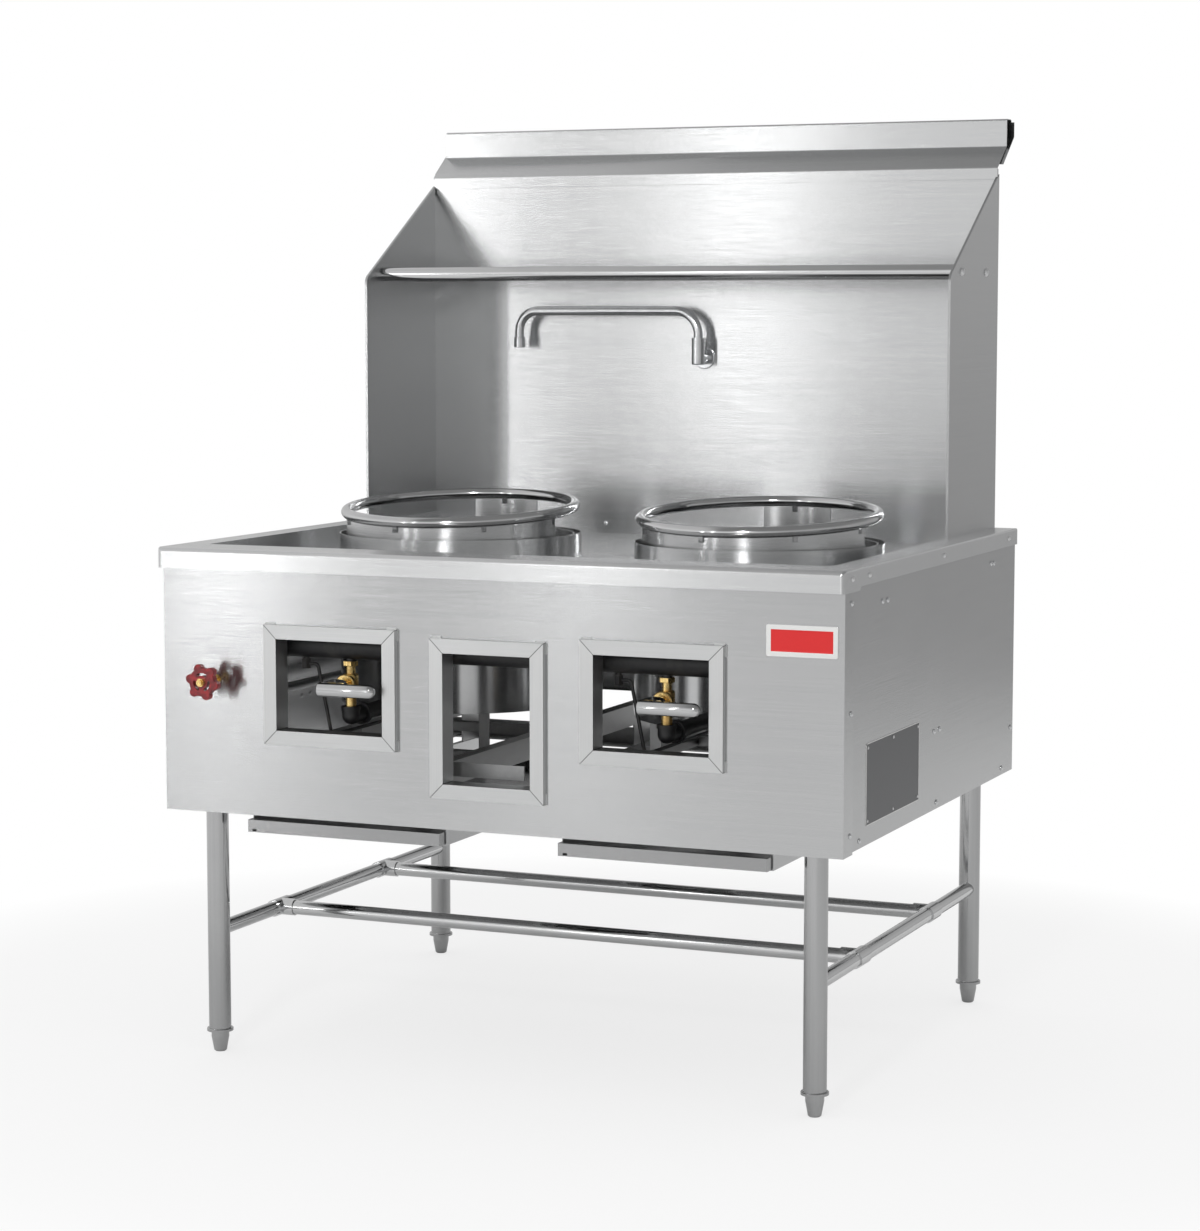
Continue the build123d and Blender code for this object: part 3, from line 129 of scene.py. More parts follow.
class Finish:
    """One material, built up node by node."""

    def __init__(self, name, **surface):
        self.material = bpy.data.materials.new(name)
        self.material.use_nodes = True
        self.tree = self.material.node_tree
        self.shader = self.tree.nodes["Principled BSDF"]
        for socket, value in surface.items():
            self.set(socket.replace("_", " ").title(), value)

    def node(self, kind, settings=None, **inputs):
        """Adds a node. Its inputs are named with underscores for spaces, or
        numbered as i0, i1 and so on."""
        node = self.tree.nodes.new(kind)
        for key, value in (settings or {}).items():
            setattr(node, key, value)
        for key, value in inputs.items():
            name = key.replace("_", " ")
            target = node.inputs[int(name[1:]) if name[1:].isdigit() else name]
            self.feed(target, value)
        return node

    def feed(self, target, value):
        if isinstance(value, Wire):
            value = value.socket
        if isinstance(value, bpy.types.NodeSocket):
            self.tree.links.new(value, target)
        else:
            target.default_value = value

    def set(self, socket, value):
        target = self.shader.inputs[socket]
        if isinstance(value, tuple) and len(value) == 3:
            value = (*value, 1.0)
        self.feed(target, value)

    def math(self, operation, first, second=0.0):
        node = self.node("ShaderNodeMath", {"operation": operation},
                         i0=first, i1=second)
        return Wire(self, node.outputs[0])

    def clamp(self, value):
        return self.math("MAXIMUM", self.math("MINIMUM", value, 1.0), 0.0)

    def step(self, value, low, high):
        """Rises smoothly from 0 at low to 1 at high."""
        node = self.node("ShaderNodeMapRange", {"interpolation_type": "SMOOTHSTEP"},
                         Value=value, From_Min=low, From_Max=high)
        return Wire(self, node.outputs["Result"])

    def place(self):
        """The point on the piece, in metres, and its three parts."""
        point = self.node("ShaderNodeTexCoord").outputs["Object"]
        split = self.node("ShaderNodeSeparateXYZ", Vector=point)
        return point, [Wire(self, split.outputs[axis]) for axis in range(3)]

    def noise(self, point, waves, detail=3.0, rough=0.55):
        """Noise with so many waves a metre: one number, or one for each axis."""
        stretch = waves if isinstance(waves, tuple) else (waves,) * 3
        scaled = self.node("ShaderNodeMapping", Vector=point, Scale=stretch)
        cloud = self.node("ShaderNodeTexNoise", Vector=scaled.outputs[0], Scale=1.0,
                          Detail=detail, Roughness=rough)
        return Wire(self, cloud.outputs["Fac"])

    def blend(self, factor, first, second):
        """A colour between two colours."""
        node = self.node("ShaderNodeMix", {"data_type": "RGBA"}, Factor=factor)
        for socket, colour in ((node.inputs[6], first), (node.inputs[7], second)):
            if isinstance(colour, tuple):
                colour = (*colour, 1.0)
            self.feed(socket, colour)
        return node.outputs[2]

    def bump(self, height, distance):
        node = self.node("ShaderNodeBump", Height=height, Distance=distance,
                         Strength=1.0)
        self.set("Normal", node.outputs["Normal"])


print("a finish can be built node by node")

# %% [markdown]
# ## Brushed stainless sheet
# Sheet for kitchens is rubbed with an abrasive belt, which leaves fine parallel
# scratches. They scatter light across their run, so a lamp's reflection is
# drawn out into a tall soft glow. The shader's anisotropic setting does that,
# turned by a quarter because the belt runs level. An image of scratches would
# tile and would need a layout for every piece. Noise stretched along the belt's
# run has neither fault: it is slow one way and quick the other two. The mill's
# rolling marks are the same noise made coarser, and slow smears lie over both.

# %% Brushed sheet
SLOW = 5.0
QUICK = 950.0
ROLLING_SHARE = 0.12
SMEAR_WAVES = 2.2
SHINE_STRETCH = 0.9
QUARTER_TURN = 0.25
RUN = {"along_x": (SLOW, QUICK, QUICK), "along_y": (QUICK, SLOW, QUICK),
       "along_z": (QUICK, QUICK, SLOW), "round": (SLOW, SLOW, QUICK)}


def brushed_sheet(name, run, light=0.60, rough=0.215, deep=0.00008):
    """Stainless sheet with its belt marks along the given run."""
    steel = Finish(name, metallic=1.0)
    point, _ = steel.place()
    scratches = steel.noise(point, RUN[run], detail=2.0)
    rolling = steel.noise(point, tuple(v * ROLLING_SHARE for v in RUN[run]), detail=2.0)
    smears = steel.noise(point, SMEAR_WAVES, detail=4.0, rough=0.6)
    tone = steel.clamp(scratches * 0.45 + rolling * 0.25 + smears * 0.30)
    dark = (light * 0.86, light * 0.875, light * 0.89)
    pale = (light * 1.10, light * 1.10, light * 1.095)
    steel.set("Base Color", steel.blend(tone, dark, pale))
    steel.set("Roughness", steel.clamp(rough - 0.05 + smears * 0.06 + scratches * 0.04))
    steel.set("Anisotropic", SHINE_STRETCH)
    steel.set("Anisotropic Rotation", QUARTER_TURN)
    steel.bump(scratches + rolling * 0.5, deep)
    return steel.material


# These sheets are one steel, and their light levels are painted shade: the front and the
# sides are set darker than the top and the splash, and the trays, under the lip, darker
# still.
front_sheet_painted_shade = brushed_sheet("brushed_sheet_front", "along_x", light=0.49, rough=0.195)
sheet_x = brushed_sheet("brushed_sheet_across", "along_x", light=0.62)
sheet_y_painted_shade = brushed_sheet("brushed_sheet_front_to_back", "along_y", light=0.48)
tray_sheet_painted_shade = brushed_sheet("brushed_sheet_trays_painted_shade", "along_x", light=0.34)
sheet_round = brushed_sheet("brushed_sheet_rolled", "round", light=0.60, deep=0.00006)
print("five brushed sheets on three runs")

# %% [markdown]
# ## Mitred window frames
# Each window frame is four strips whose ends meet at 45 degrees. The belt marks
# follow each strip, so they turn at the mitre, and the weld there is ground to
# a thin dark line. The mitre is where a point is as far inside the frame's
# width as it is inside its height, so one subtraction finds it. The table gives
# each frame's middle, across and up, and then its width and height.

# %% Window frames
MITRE_BLUR = 0.2 * MM
SEAM_CORE = 0.4 * MM
SEAM_EDGE = 1.3 * MM


def window_steel(name, centre_x, centre_z, width, height):
    """Brushed steel for a mitred frame of the given middle and size."""
    steel = Finish(name, metallic=1.0)
    point, (x, _, z) = steel.place()
    inside_x = abs(x - centre_x * MM) - (width / 2 * MM)
    inside_z = abs(z - centre_z * MM) - (height / 2 * MM)
    across = inside_x - inside_z
    upright = steel.step(across, -MITRE_BLUR, MITRE_BLUR)
    seam = 1 - steel.step(abs(across), SEAM_CORE, SEAM_EDGE)
    flat_marks = steel.noise(point, RUN["along_x"], detail=2.0)
    tall_marks = steel.noise(point, RUN["along_z"], detail=2.0)
    marks = upright * tall_marks + (1 - upright) * flat_marks
    smears = steel.noise(point, 5.0, detail=3.0)
    # Upright strips are painted a little paler than level ones: a painted sheen for how
    # their turned grain catches the light.
    tone = steel.clamp(marks * 0.5 + smears * 0.4 + upright * 0.08)
    colour = steel.blend(tone, (0.45, 0.46, 0.465), (0.62, 0.62, 0.615))
    steel.set("Base Color", steel.blend(seam, colour, (0.14, 0.14, 0.14)))
    steel.set("Roughness", steel.clamp(0.27 + smears * 0.10 + seam * 0.2))
    steel.bump(marks - seam * 1.5, 0.00008)
    return steel.material


WINDOWS = {"left_window_frame": (-287.0, 651.0, 244.5, 200.5),
           "middle_window_frame": (0.0, 610.5, 203.0, 262.0),
           "right_window_frame": (287.0, 651.0, 244.5, 200.5)}
window_finish = {name: window_steel(name + "_steel", *size)
                 for name, size in WINDOWS.items()}
print(len(window_finish), "mitred frames")

# %% [markdown]
# ## Polished tube
# The legs, rails and rods are welded tube, polished brighter than the sheet.
# A polished round bar mirrors its room as long stripes. Slight ripples from the
# drawing bench break those stripes up. A smooth shader would leave them ruler
# straight, and a deep bump would look hammered, so the ripples are shallow noise
# drawn out along the tube.

# %% Polished tube
DRAWING_SHARE = 0.35


def polished_tube(name, run, light=0.60, rough=0.09):
    """Bright tube with drawing marks along its length."""
    steel = Finish(name, metallic=1.0)
    point, _ = steel.place()
    stretch = tuple(v * DRAWING_SHARE for v in RUN[run])
    ripples = steel.noise(point, stretch, detail=2.0)
    clouds = steel.noise(point, 14.0, detail=3.0)
    tone = steel.clamp(ripples * 0.6 + clouds * 0.4)
    dark = (light * 0.84, light * 0.85, light * 0.86)
    steel.set("Base Color", steel.blend(tone, dark, (light * 1.1,) * 3))
    steel.set("Roughness", steel.clamp(rough - 0.03 + clouds * 0.09))
    steel.bump(ripples, 0.00007)
    return steel.material


tube_x = polished_tube("polished_tube_across", "along_x")
tube_y = polished_tube("polished_tube_front_to_back", "along_y")
tube_z = polished_tube("pipe_leg_steel", "along_z", light=0.43, rough=0.12)
ring_steel = polished_tube("bent_ring_tube", "round", light=0.52, rough=0.10)
lever_steel = polished_tube("lever_steel", "along_x", light=0.52, rough=0.08)
print("five tube finishes")

# %% [markdown]
# ## Bright plating, brass and iron
# The faucet and the screws are plated, so they are smoother and bluer than the
# tube. The valves are bare brass with patches of tarnish. Pipe and burners are
# iron: the pipe is dipped black, the burners are raw from the sand. The base
# frame is mill steel under its grey scale, and the bolts and water pipes are
# zinc plated. One colour each would do from afar, but bare metal ages in
# patches. So each finish blends two colours by slow noise, and quick noise gives
# the grain of its surface.

# %% Plating and brass


def plating(name):
    bright = Finish(name, metallic=1.0)
    point, _ = bright.place()
    breath = bright.noise(point, 40.0, detail=3.0)
    spots = bright.noise(point, 700.0, detail=1.0)
    bright.set("Base Color", bright.blend(breath, (0.52, 0.53, 0.54),
                                          (0.68, 0.685, 0.69)))
    bright.set("Roughness", bright.clamp(0.13 + breath * 0.10 + spots * 0.04))
    bright.bump(spots, 0.00002)
    return bright.material


def bare_brass(name):
    brass = Finish(name, metallic=1.0)
    point, _ = brass.place()
    tarnish = brass.step(brass.noise(point, 60.0, detail=4.0), 0.42, 0.68)
    cast = brass.noise(point, 1300.0, detail=2.0)
    brass.set("Base Color", brass.blend(tarnish, (0.84, 0.62, 0.26),
                                        (0.52, 0.33, 0.12)))
    brass.set("Roughness", brass.clamp(0.20 + tarnish * 0.22 + cast * 0.05))
    brass.bump(cast, 0.00006)
    return brass.material


chrome = plating("bright_plating")
brass = bare_brass("bare_brass")
print("two bright metals")

# %% Iron, mill steel and zinc


def black_iron(name):
    iron = Finish(name, metallic=0.15)
    point, _ = iron.place()
    sand = iron.noise(point, 900.0, detail=3.0)
    dust = iron.step(iron.noise(point, 25.0, detail=4.0), 0.45, 0.75)
    iron.set("Base Color", iron.blend(dust, (0.012, 0.012, 0.013), (0.045, 0.043, 0.04)))
    iron.set("Roughness", iron.clamp(0.38 + dust * 0.22 + sand * 0.10))
    iron.bump(sand, 0.00025)
    return iron.material


def raw_casting(name):
    iron = Finish(name, metallic=0.55)
    point, _ = iron.place()
    sand = iron.noise(point, 600.0, detail=4.0)
    rust = iron.step(iron.noise(point, 30.0, detail=5.0), 0.52, 0.72)
    iron.set("Base Color", iron.blend(rust, (0.13, 0.125, 0.12), (0.20, 0.085, 0.035)))
    iron.set("Roughness", iron.clamp(0.55 + rust * 0.25 + sand * 0.08))
    iron.bump(sand + rust * 0.3, 0.0005)
    return iron.material


def mill_steel(name, light=0.36):
    steel = Finish(name, metallic=0.9)
    point, _ = steel.place()
    scale = steel.noise(point, (45.0, 18.0, 45.0), detail=5.0)
    grit = steel.noise(point, 700.0, detail=2.0)
    steel.set("Base Color", steel.blend(scale, (light * 0.8, light * 0.81, light * 0.83),
                                        (light * 1.25, light * 1.25, light * 1.24)))
    steel.set("Roughness", steel.clamp(0.36 + scale * 0.16 + grit * 0.05))
    steel.bump(grit, 0.00008)
    return steel.material


pipe_black = black_iron("black_pipe")
casting = raw_casting("raw_casting")
frame_steel = mill_steel("mill_steel")
zinc = mill_steel("zinc_plate", light=0.62)
print("four dull metals")

# %% [markdown]
# ## Red enamel
# The water handwheel is cast and dipped in red enamel. The dip leaves a glossy
# skin of uneven depth over a slightly rough casting. The shader's coat is that
# skin and stays smooth, while the bump roughens only the paint under it. Thin
# places could follow the corners, but the model's mesh is loose triangles, in
# which a shader finds no corners, so noise draws them.

# %% Handwheel enamel
enamel = Finish("red_enamel", coat_weight=0.25, coat_roughness=0.08)
enamel_point, _ = enamel.place()
enamel_sand = enamel.noise(enamel_point, 420.0, detail=3.0)
enamel_tone = enamel.step(enamel.noise(enamel_point, 90.0), 0.35, 0.7)
enamel.set("Base Color", enamel.blend(enamel_tone, (0.13, 0.003, 0.006),
                                      (0.30, 0.007, 0.011)))
enamel.set("Roughness", enamel.clamp(0.28 + enamel_sand * 0.14))
enamel.bump(enamel_sand, 0.0002)
print("enamel ready")

# %% [markdown]
# ## Giving each piece its finish
# One table says which pieces share a finish. The pieces keep their shape: only
# the material in each slot is exchanged.

# %% Dress the pieces
FINISHES = [
    (front_sheet_painted_shade, ["front_panel"]),
    (tray_sheet_painted_shade, ["left_drip_tray", "right_drip_tray"]),
    (sheet_x, ["counter_top", "rear_panel", "splash_panel", "splash_cap"]),
    (sheet_y_painted_shade, ["left_side_panel", "right_side_panel", "left_wing", "right_wing",
               "tray_runners"]),
    (sheet_round, ["left_burner_drum", "right_burner_drum", "left_ring_holder",
                   "right_ring_holder"]),
    (ring_steel, ["left_wok_ring", "right_wok_ring"]),
    (tube_z, ["legs", "leg_sockets", "front_left_foot", "front_right_foot",
              "rear_left_foot", "rear_right_foot"]),
    (tube_y, ["side_stretchers", "stretcher_tees"]),
    (lever_steel, ["left_knee_lever", "right_knee_lever"]),
    (tube_x, ["cross_stretchers", "rack_rods"]),
    (chrome, ["faucet_spout", "faucet_body", "faucet_flange"]),
    (brass, ["left_gas_valve", "right_gas_valve", "water_valve", "water_valve_stem",
             "handwheel_nut", "left_lever_stem", "right_lever_stem"]),
    (pipe_black, ["gas_manifold", "manifold_hangers", "gas_inlet_pipe", "supply_pipes",
                  "pilot_lines"]),
    (casting, ["left_jet_burner", "right_jet_burner"]),
    (frame_steel, ["base_frame", "drum_legs", "drum_cross_bars", "burner_rails"]),
    (zinc, ["counter_lip_bolts", "rack_rod_bolts", "water_pipe", "water_inlet_pipe"]),
    (enamel.material, ["water_handwheel"]),
]


def dress(name, material):
    piece = nodes[name]
    piece.data.materials.clear()
    piece.data.materials.append(material)


for material, names in FINISHES:
    for name in names:
        dress(name, material)
for name, material in window_finish.items():
    dress(name, material)
dressed = sum(len(names) for _, names in FINISHES) + len(window_finish)
print(dressed, "of", len(nodes), "pieces dressed")

# %% [markdown]
# ## Dome screws, scattered by rule
# The cabinet's sides and the splash are held with small dome-headed screws. They
# are all alike, so a Geometry Nodes tree puts one head on each point of a bare
# mesh. A head is a flattened ball, half of it sunk in the sheet. The instances
# are then made real and turned into one plain mesh.

# %% The screws' tree
HEAD_SEGMENTS = 24
HEAD_RINGS = 12


def scatter_tree(name):
    """A node tree that puts a ball of three radii on every point."""
    tree = bpy.data.node_groups.new(name, "GeometryNodeTree")
    face = tree.interface
    face.new_socket("Geometry", in_out="INPUT", socket_type="NodeSocketGeometry")
    face.new_socket("Radii", in_out="INPUT", socket_type="NodeSocketVector")
    face.new_socket("Finish", in_out="INPUT", socket_type="NodeSocketMaterial")
    face.new_socket("Geometry", in_out="OUTPUT", socket_type="NodeSocketGeometry")
    start = tree.nodes.new("NodeGroupInput")
    ball = tree.nodes.new("GeometryNodeMeshUVSphere")
    ball.inputs["Segments"].default_value = HEAD_SEGMENTS
    ball.inputs["Rings"].default_value = HEAD_RINGS
    ball.inputs["Radius"].default_value = 1.0
    smooth = tree.nodes.new("GeometryNodeSetShadeSmooth")
    points = tree.nodes.new("GeometryNodeInstanceOnPoints")
    real = tree.nodes.new("GeometryNodeRealizeInstances")
    paint = tree.nodes.new("GeometryNodeSetMaterial")
    end = tree.nodes.new("NodeGroupOutput")
    wires = [(start.outputs["Geometry"], points.inputs["Points"]),
             (ball.outputs["Mesh"], smooth.inputs["Geometry"]),
             (smooth.outputs["Geometry"], points.inputs["Instance"]),
             (start.outputs["Radii"], points.inputs["Scale"]),
             (points.outputs["Instances"], real.inputs["Geometry"]),
             (real.outputs["Geometry"], paint.inputs["Geometry"]),
             (start.outputs["Finish"], paint.inputs["Material"]),
             (paint.outputs["Geometry"], end.inputs["Geometry"])]
    for source, target in wires:
        tree.links.new(source, target)
    return tree


SCREWS = scatter_tree("dome_screws")
print("a tree of", len(SCREWS.nodes), "nodes sets the screws")

# %% Screws in their places


def scatter_screws(name, places, radii, finish):
    """One mesh of dome heads at the given places of the shop drawing."""
    mesh = bpy.data.meshes.new(name + "_points")
    mesh.from_pydata([spot(*place) for place in places], [], [])
    holder = bpy.data.objects.new(name + "_points", mesh)
    bpy.context.scene.collection.objects.link(holder)
    modifier = holder.modifiers.new("screws", "NODES")
    modifier.node_group = SCREWS
    values = {"Radii": [r * MM for r in radii], "Finish": finish}
    for item in SCREWS.interface.items_tree:
        if item.in_out == "INPUT" and item.name in values:
            modifier[item.identifier] = values[item.name]
    bpy.context.view_layer.update()
    graph = bpy.context.evaluated_depsgraph_get()
    made = bpy.data.meshes.new_from_object(holder.evaluated_get(graph))
    made.name = name
    bpy.data.objects.remove(holder)
    piece = bpy.data.objects.new(name, made)
    bpy.context.scene.collection.objects.link(piece)
    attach(piece, "range")
    print(name, len(places), "heads,", len(made.polygons), "faces")


SIDE_SCREWS = [(47, 822), (201, 812), (227, 811.5), (827, 823), (844, 822), (47, 650),
               (490, 565), (521, 565.5), (968, 511), (912, 443), (507, 442),
               (46, 458.5), (93, 443)]
SIDE_FACE = 605.4
SIDE_HEAD = (2.8, 4.8, 4.8)
SPLASH_HEAD = (6.5, 3.2, 6.5)
scatter_screws("right_side_screws", [(SIDE_FACE, y, z) for y, z in SIDE_SCREWS],
               SIDE_HEAD, chrome)
scatter_screws("left_side_screws", [(-SIDE_FACE, y, z) for y, z in SIDE_SCREWS],
               SIDE_HEAD, chrome)
scatter_screws("splash_screws", [(-203, 976, 861.5), (203, 976, 861.5)],
               SPLASH_HEAD, chrome)

# %% [markdown]
# ## Two bare plates
# A badge and a rating plate are fixed to such a range. Both are bare here. A
# plate is a rounded rectangle with a low raised rim. A bevelled box would round
# its outline and its rim alike, so the outline is drawn four times instead: at
# the back, at the front edge, at the rim's inner edge and a little lower inside
# it. Quads join these rings, and one face closes each end. The paint stops at
# the rim, which stays bare metal.

# %% The shape of a plate


def object_from(work, name):
    """A bmesh as a plain object whose faces look outward."""
    bmesh.ops.recalc_face_normals(work, faces=work.faces)
    mesh = bpy.data.meshes.new(name)
    work.to_mesh(mesh)
    work.free()
    piece = bpy.data.objects.new(name, mesh)
    bpy.context.scene.collection.objects.link(piece)
    return piece


def rounded_corners(width, height, radius, steps=6):
    """Points round a rectangle with rounded corners, centred on zero."""
    points = []
    for turn in range(4):
        side_u = 1 if turn in (0, 3) else -1
        side_v = 1 if turn in (0, 1) else -1
        middle_u = side_u * (width / 2 - radius)
        middle_v = side_v * (height / 2 - radius)
        for index in range(steps + 1):
            angle = math.pi / 2 * (turn + index / steps)
            points.append((middle_u + radius * math.cos(angle),
                           middle_v + radius * math.sin(angle)))
    return points


def rimmed_plate(name, centre, along, up, size, radius, thick, rim):
    """A plate with a raised rim; along and up span it, in millimetres."""
    width, height = size
    out = along.cross(up)
    work = bmesh.new()
    rings = []
    for inset, lift in ((0, 0), (0, thick), (rim, thick), (rim * 1.4, thick * 0.6)):
        outline = rounded_corners(width - 2 * inset, height - 2 * inset,
                                  max(radius - inset, 0.3))
        rings.append([work.verts.new(spot(*(centre + along * u + up * v + out * lift)))
                      for u, v in outline])
    work.faces.new(reversed(rings[0]))
    for low, high in zip(rings, rings[1:]):
        for index in range(len(low)):
            after = (index + 1) % len(low)
            work.faces.new((low[index], low[after], high[after], high[index]))
    work.faces.new(rings[-1])
    piece = object_from(work, name)
    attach(piece, "range")
    return piece


print("a plate's outline has", len(rounded_corners(2, 1, 0.1)), "points")

# %% The paint of a plate
RIM_BLUR = 0.3 * MM


def plate_paint(name, colour, pale, rim_from, centre, size, axes, rough=0.3):
    """Paint inside a plate's rim and bare metal on the rim itself. The axes are
    the two that the plate spans."""
    paint = Finish(name)
    point, parts = paint.place()
    middle = spot(*centre)
    reach = [abs(parts[axis] - middle[axis]) - length / 2 * MM
             for axis, length in zip(axes, size)]
    edge = paint.math("MAXIMUM", reach[0], reach[1])
    bare = paint.step(edge, -rim_from * MM, -rim_from * MM + RIM_BLUR)
    speck = paint.noise(point, 260.0, detail=4.0)
    field = paint.blend(speck, colour, pale)
    paint.set("Base Color", paint.blend(bare, field, (0.72, 0.72, 0.71)))
    paint.set("Metallic", bare)
    paint.set("Roughness", paint.clamp(rough + speck * 0.08 - bare * 0.02))
    paint.bump(speck, 0.00003)
    return paint.material


print("paint stops", RIM_BLUR, "m from a plate's rim")

# %% Badge, rating plate and rivets
RIGHT = Vector((1, 0, 0))
BACK = Vector((0, 1, 0))
UP = Vector((0, 0, 1))
BADGE_SIZE = (117.0, 49.5)
BADGE_CENTRE = Vector((536.0, 14.6, 763.3))
BADGE_RIM = 7.0
badge = rimmed_plate("blank_badge", BADGE_CENTRE, RIGHT, UP, BADGE_SIZE, radius=3.0,
                     thick=1.2, rim=BADGE_RIM)
badge.data.materials.append(plate_paint("badge_red", (0.60, 0.006, 0.007),
                                        (0.66, 0.008, 0.009), BADGE_RIM + 0.6,
                                        BADGE_CENTRE, BADGE_SIZE, (0, 2)))

RATING_SIZE = (279.0, 131.5)
RATING_CENTRE = Vector((SIDE_FACE, 263.5, 527.2))
RATING_RIM = 1.2
rating = rimmed_plate("blank_rating_plate", RATING_CENTRE, BACK, UP, RATING_SIZE,
                      radius=5.0, thick=0.8, rim=RATING_RIM)
rating.data.materials.append(plate_paint("rating_black", (0.035, 0.037, 0.04),
                                         (0.065, 0.067, 0.07), RATING_RIM + 0.4,
                                         RATING_CENTRE, RATING_SIZE, (1, 2),
                                         rough=0.34))

RIVET_HEAD = (1.4, 2.6, 2.6)
RIVET_REACH = (132.0, 58.5)
RIVETS = [(SIDE_FACE + 0.8, RATING_CENTRE.y + u * RIVET_REACH[0],
           RATING_CENTRE.z + v * RIVET_REACH[1]) for u in (-1, 0, 1) for v in (-1, 1)]
scatter_screws("rating_plate_rivets", RIVETS, RIVET_HEAD, zinc)
print("badge and rating plate are bare")

# %% [markdown]
# ## Grips of the knee levers
# The part of a lever that the cook's knee pushes is pressed round, so it shines
# like a bar with a rounded end. The model's lever is the flat strip behind it.
# A bevelled bar would keep flat faces, which mirror the room in patches. So each
# grip is a row of half ovals along the strip, joined by quads. The ovals shrink
# at both ends along a quarter circle, which closes the shape softly.

# %% Lever grips
GRIP_DEPTH = 8.5
GRIP_HALF = 11.3
GRIP_START = -13.5
GRIP_END = 92.0
GRIP_GAP = 0.4
ROUND_LEFT = 3.0
ROUND_RIGHT = 11.0
LEVER_FACE = -12.0
VALVE_HEIGHT = 650.0
STEM_PLACE = 285.0


def grip_sections(steps=7, least=0.02):
    """Places along a grip, each with its share of the full size."""
    angles = [math.pi / 2 * index / steps for index in range(steps + 1)]
    left = [(GRIP_START + ROUND_LEFT * (1 - math.cos(a)), math.sin(a)) for a in angles]
    right = [(GRIP_END - ROUND_RIGHT * (1 - math.cos(a)), math.sin(a))
             for a in reversed(angles)]
    return [(x, max(size, least)) for x, size in left + right]


def lever_grip(name, stem_x, body, points=15):
    """A half-oval bar in front of a lever's strip."""
    work = bmesh.new()
    rings = []
    for along, size in grip_sections():
        ring = []
        for index in range(points):
            angle = math.pi * index / (points - 1)
            depth = GRIP_GAP + GRIP_DEPTH * size * math.sin(angle)
            rise = GRIP_HALF * size * math.cos(angle)
            ring.append(work.verts.new(spot(stem_x + along, LEVER_FACE - depth,
                                            VALVE_HEIGHT + rise)))
        rings.append(ring)
    for here, after in zip(rings, rings[1:]):
        for index in range(points):
            other = (index + 1) % points
            work.faces.new((here[index], here[other], after[other], after[index]))
    work.faces.new(rings[0])
    work.faces.new(reversed(rings[-1]))
    for face in work.faces:
        face.smooth = len(face.verts) == 4
    piece = object_from(work, name)
    piece.data.materials.append(lever_steel)
    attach(piece, body)
    return piece


grips = [lever_grip("left_lever_grip", -STEM_PLACE, "left_lever"),
         lever_grip("right_lever_grip", STEM_PLACE, "right_lever")]
print(len(grips), "grips of", len(grips[0].data.polygons), "faces each")

# %% [markdown]
# ## The studio
# The floor is pale and keeps a soft shadow. Towards its edge it fades into a
# plain glow of the same white as the world, so no horizon shows. A curved
# backdrop would hide it too, but would block the views from behind. The glow is
# seen by the eye and by mirrors alone, so it lights nothing by itself. The eye
# sees a share of it over the whole floor, which keeps the shadow pale. On the
# right, away from the lamps, mirrors see the bare floor instead, as they would
# in a room that is darker on that side.

# %% Floor
FLOOR_RADIUS = 4.5
GLOW_STARTS = 1.2
GLOW_FULL = 2.6
EYE_SHARE = 0.72
LEE_STARTS = 0.3
LEE_FULL = 1.5
bpy.ops.mesh.primitive_circle_add(vertices=96, radius=FLOOR_RADIUS, fill_type="NGON")
floor = bpy.context.object
floor.name = "studio_floor"
ground = Finish("pale_floor", base_color=(0.86, 0.86, 0.86), roughness=0.9)
_, (ground_x, ground_y, _) = ground.place()
distance = ground.math("SQRT", ground_x * ground_x + ground_y * ground_y)
far = ground.step(distance, GLOW_STARTS, GLOW_FULL)
glow = ground.node("ShaderNodeEmission", Color=(1.0, 1.0, 1.0, 1.0), Strength=1.0)
path = ground.node("ShaderNodeLightPath")
eye = ground.math("MAXIMUM", path.outputs["Is Camera Ray"],
                  path.outputs["Is Transmission Ray"])
leeward = ground.step(ground_x, LEE_STARTS, LEE_FULL)
share = ground.math("MAXIMUM", ground.clamp(far + EYE_SHARE) * eye,
                    far * (1 - leeward) * path.outputs["Is Glossy Ray"])
mixed = ground.node("ShaderNodeMixShader", i0=share, i1=ground.shader.outputs[0],
                    i2=glow.outputs[0])
ground.tree.links.new(mixed.outputs[0],
                      ground.tree.nodes["Material Output"].inputs["Surface"])
floor.data.materials.append(ground.material)
print("the floor glows from", GLOW_STARTS, "m outward")

# %% [markdown]
# ## The room that the metal mirrors
# Bare steel has no colour of its own to show: it shows the room. So the world
# has three faces. The eye sees plain white. A mirrored ray sees a plain room in
# three bands of height, each paler towards the lit side, which is in front of
# the range and to its left. All other light is an even grey that fills the
# shadows. A picture of a studio could stand there instead, but bands of grey
# need no file, and each can be set by itself.

# %% World
LOW_DARK, LOW_RISE = 0.37, 0.43
LEVEL_DARK, LEVEL_RISE = 0.56, 0.46
HIGH_DARK, HIGH_RISE = 0.31, 0.5
LIT_EAST, LIT_NORTH = 0.8, 0.6
LIT_FADE = (-0.3, 0.85)
HIGH_LIT_FADE = (0.25, 0.5)
LEVEL_BAND = (-0.13, 0.06)
HIGH_BAND = (0.12, 0.6)
FILL = 0.85
world = bpy.data.worlds.new("studio_air")
bpy.context.scene.world = world
world.use_nodes = True


class WorldFinish(Finish):
    """The same helpers, for the world's tree."""

    def __init__(self, owner):
        self.tree = owner.node_tree


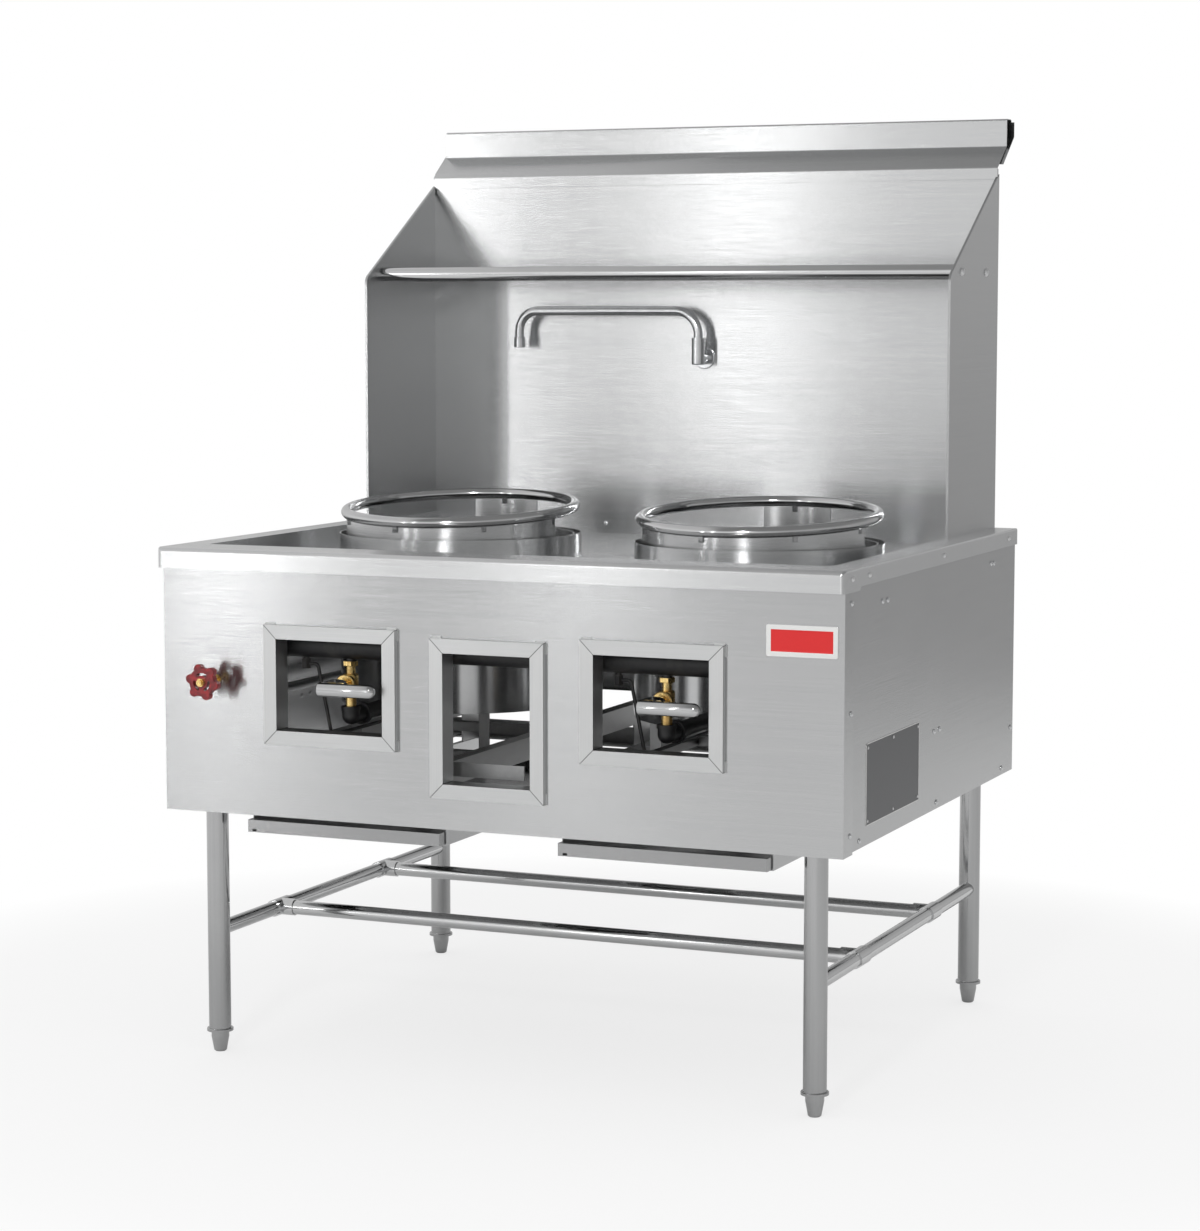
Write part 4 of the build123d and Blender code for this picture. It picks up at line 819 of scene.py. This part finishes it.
air = WorldFinish(world)
air.tree.nodes.clear()
view = air.node("ShaderNodeTexCoord").outputs["Generated"]
view_parts = air.node("ShaderNodeSeparateXYZ", Vector=view)
east = Wire(air, view_parts.outputs[0])
north = Wire(air, view_parts.outputs[1])
height = Wire(air, view_parts.outputs[2])
lit_side = air.step(-LIT_EAST * east - LIT_NORTH * north, *LIT_FADE)
low = LOW_DARK + LOW_RISE * lit_side
level = LEVEL_DARK + LEVEL_RISE * lit_side
high = HIGH_DARK + HIGH_RISE * air.step(0 - east, *HIGH_LIT_FADE)
room = low + air.step(height, *LEVEL_BAND) * (level - low)
room = room + air.step(height, *HIGH_BAND) * (high - room)
path = air.node("ShaderNodeLightPath")
gloss = path.outputs["Is Glossy Ray"]
eye = air.math("MAXIMUM", path.outputs["Is Camera Ray"], path.outputs["Is Transmission Ray"])
seen = air.math("MAXIMUM", eye, room * gloss)
share = air.math("MAXIMUM", eye, gloss)
glow = FILL + share * (seen - FILL)
white = air.node("ShaderNodeCombineColor", i0=glow, i1=glow, i2=glow).outputs[0]
back = air.node("ShaderNodeBackground", Color=white, Strength=1.0)
out = air.node("ShaderNodeOutputWorld")
air.tree.links.new(back.outputs[0], out.inputs["Surface"])
print("the room is mirrored at levels from", HIGH_DARK, "to", LEVEL_DARK + LEVEL_RISE)

# %% [markdown]
# ## Lamps
# A lamp to the left of the viewer throws soft shadows down and to the side, as
# a flash does. A second broad lamp would leave the sheets flat, so two tall
# narrow ones stand further off on the left. Each stands where a mirror in the
# sheet's plane would show it, so brushed sheet draws it as an upright glow: one
# on the splash, one at the left end of the front.

# %% Lamps


def lamp(name, place, target, watts, width, height=None):
    """An area lamp turned to its target. Without a height it is square."""
    data = bpy.data.lights.new(name, "AREA")
    data.shape = "RECTANGLE" if height else "SQUARE"
    data.size = width
    if height:
        data.size_y = height
    data.energy = watts
    holder = bpy.data.objects.new(name, data)
    bpy.context.scene.collection.objects.link(holder)
    holder.location = place
    aim = Vector(target) - Vector(place)
    holder.rotation_euler = aim.to_track_quat("-Z", "Y").to_euler()


lamp("splash_strip", spot(-3237, -7776, 2400), spot(0, 500, 2000), watts=14,
     width=0.25, height=4.4)
lamp("front_strip", spot(-5091, -7854, 1250), spot(-300, 0, 600), watts=17,
     width=0.26, height=2.4)
lamp("flash", spot(700, -4700, 2900), spot(0, 500, 900), watts=60, width=0.5)
bpy.context.scene.view_settings.view_transform = "Standard"
print("three lamps")
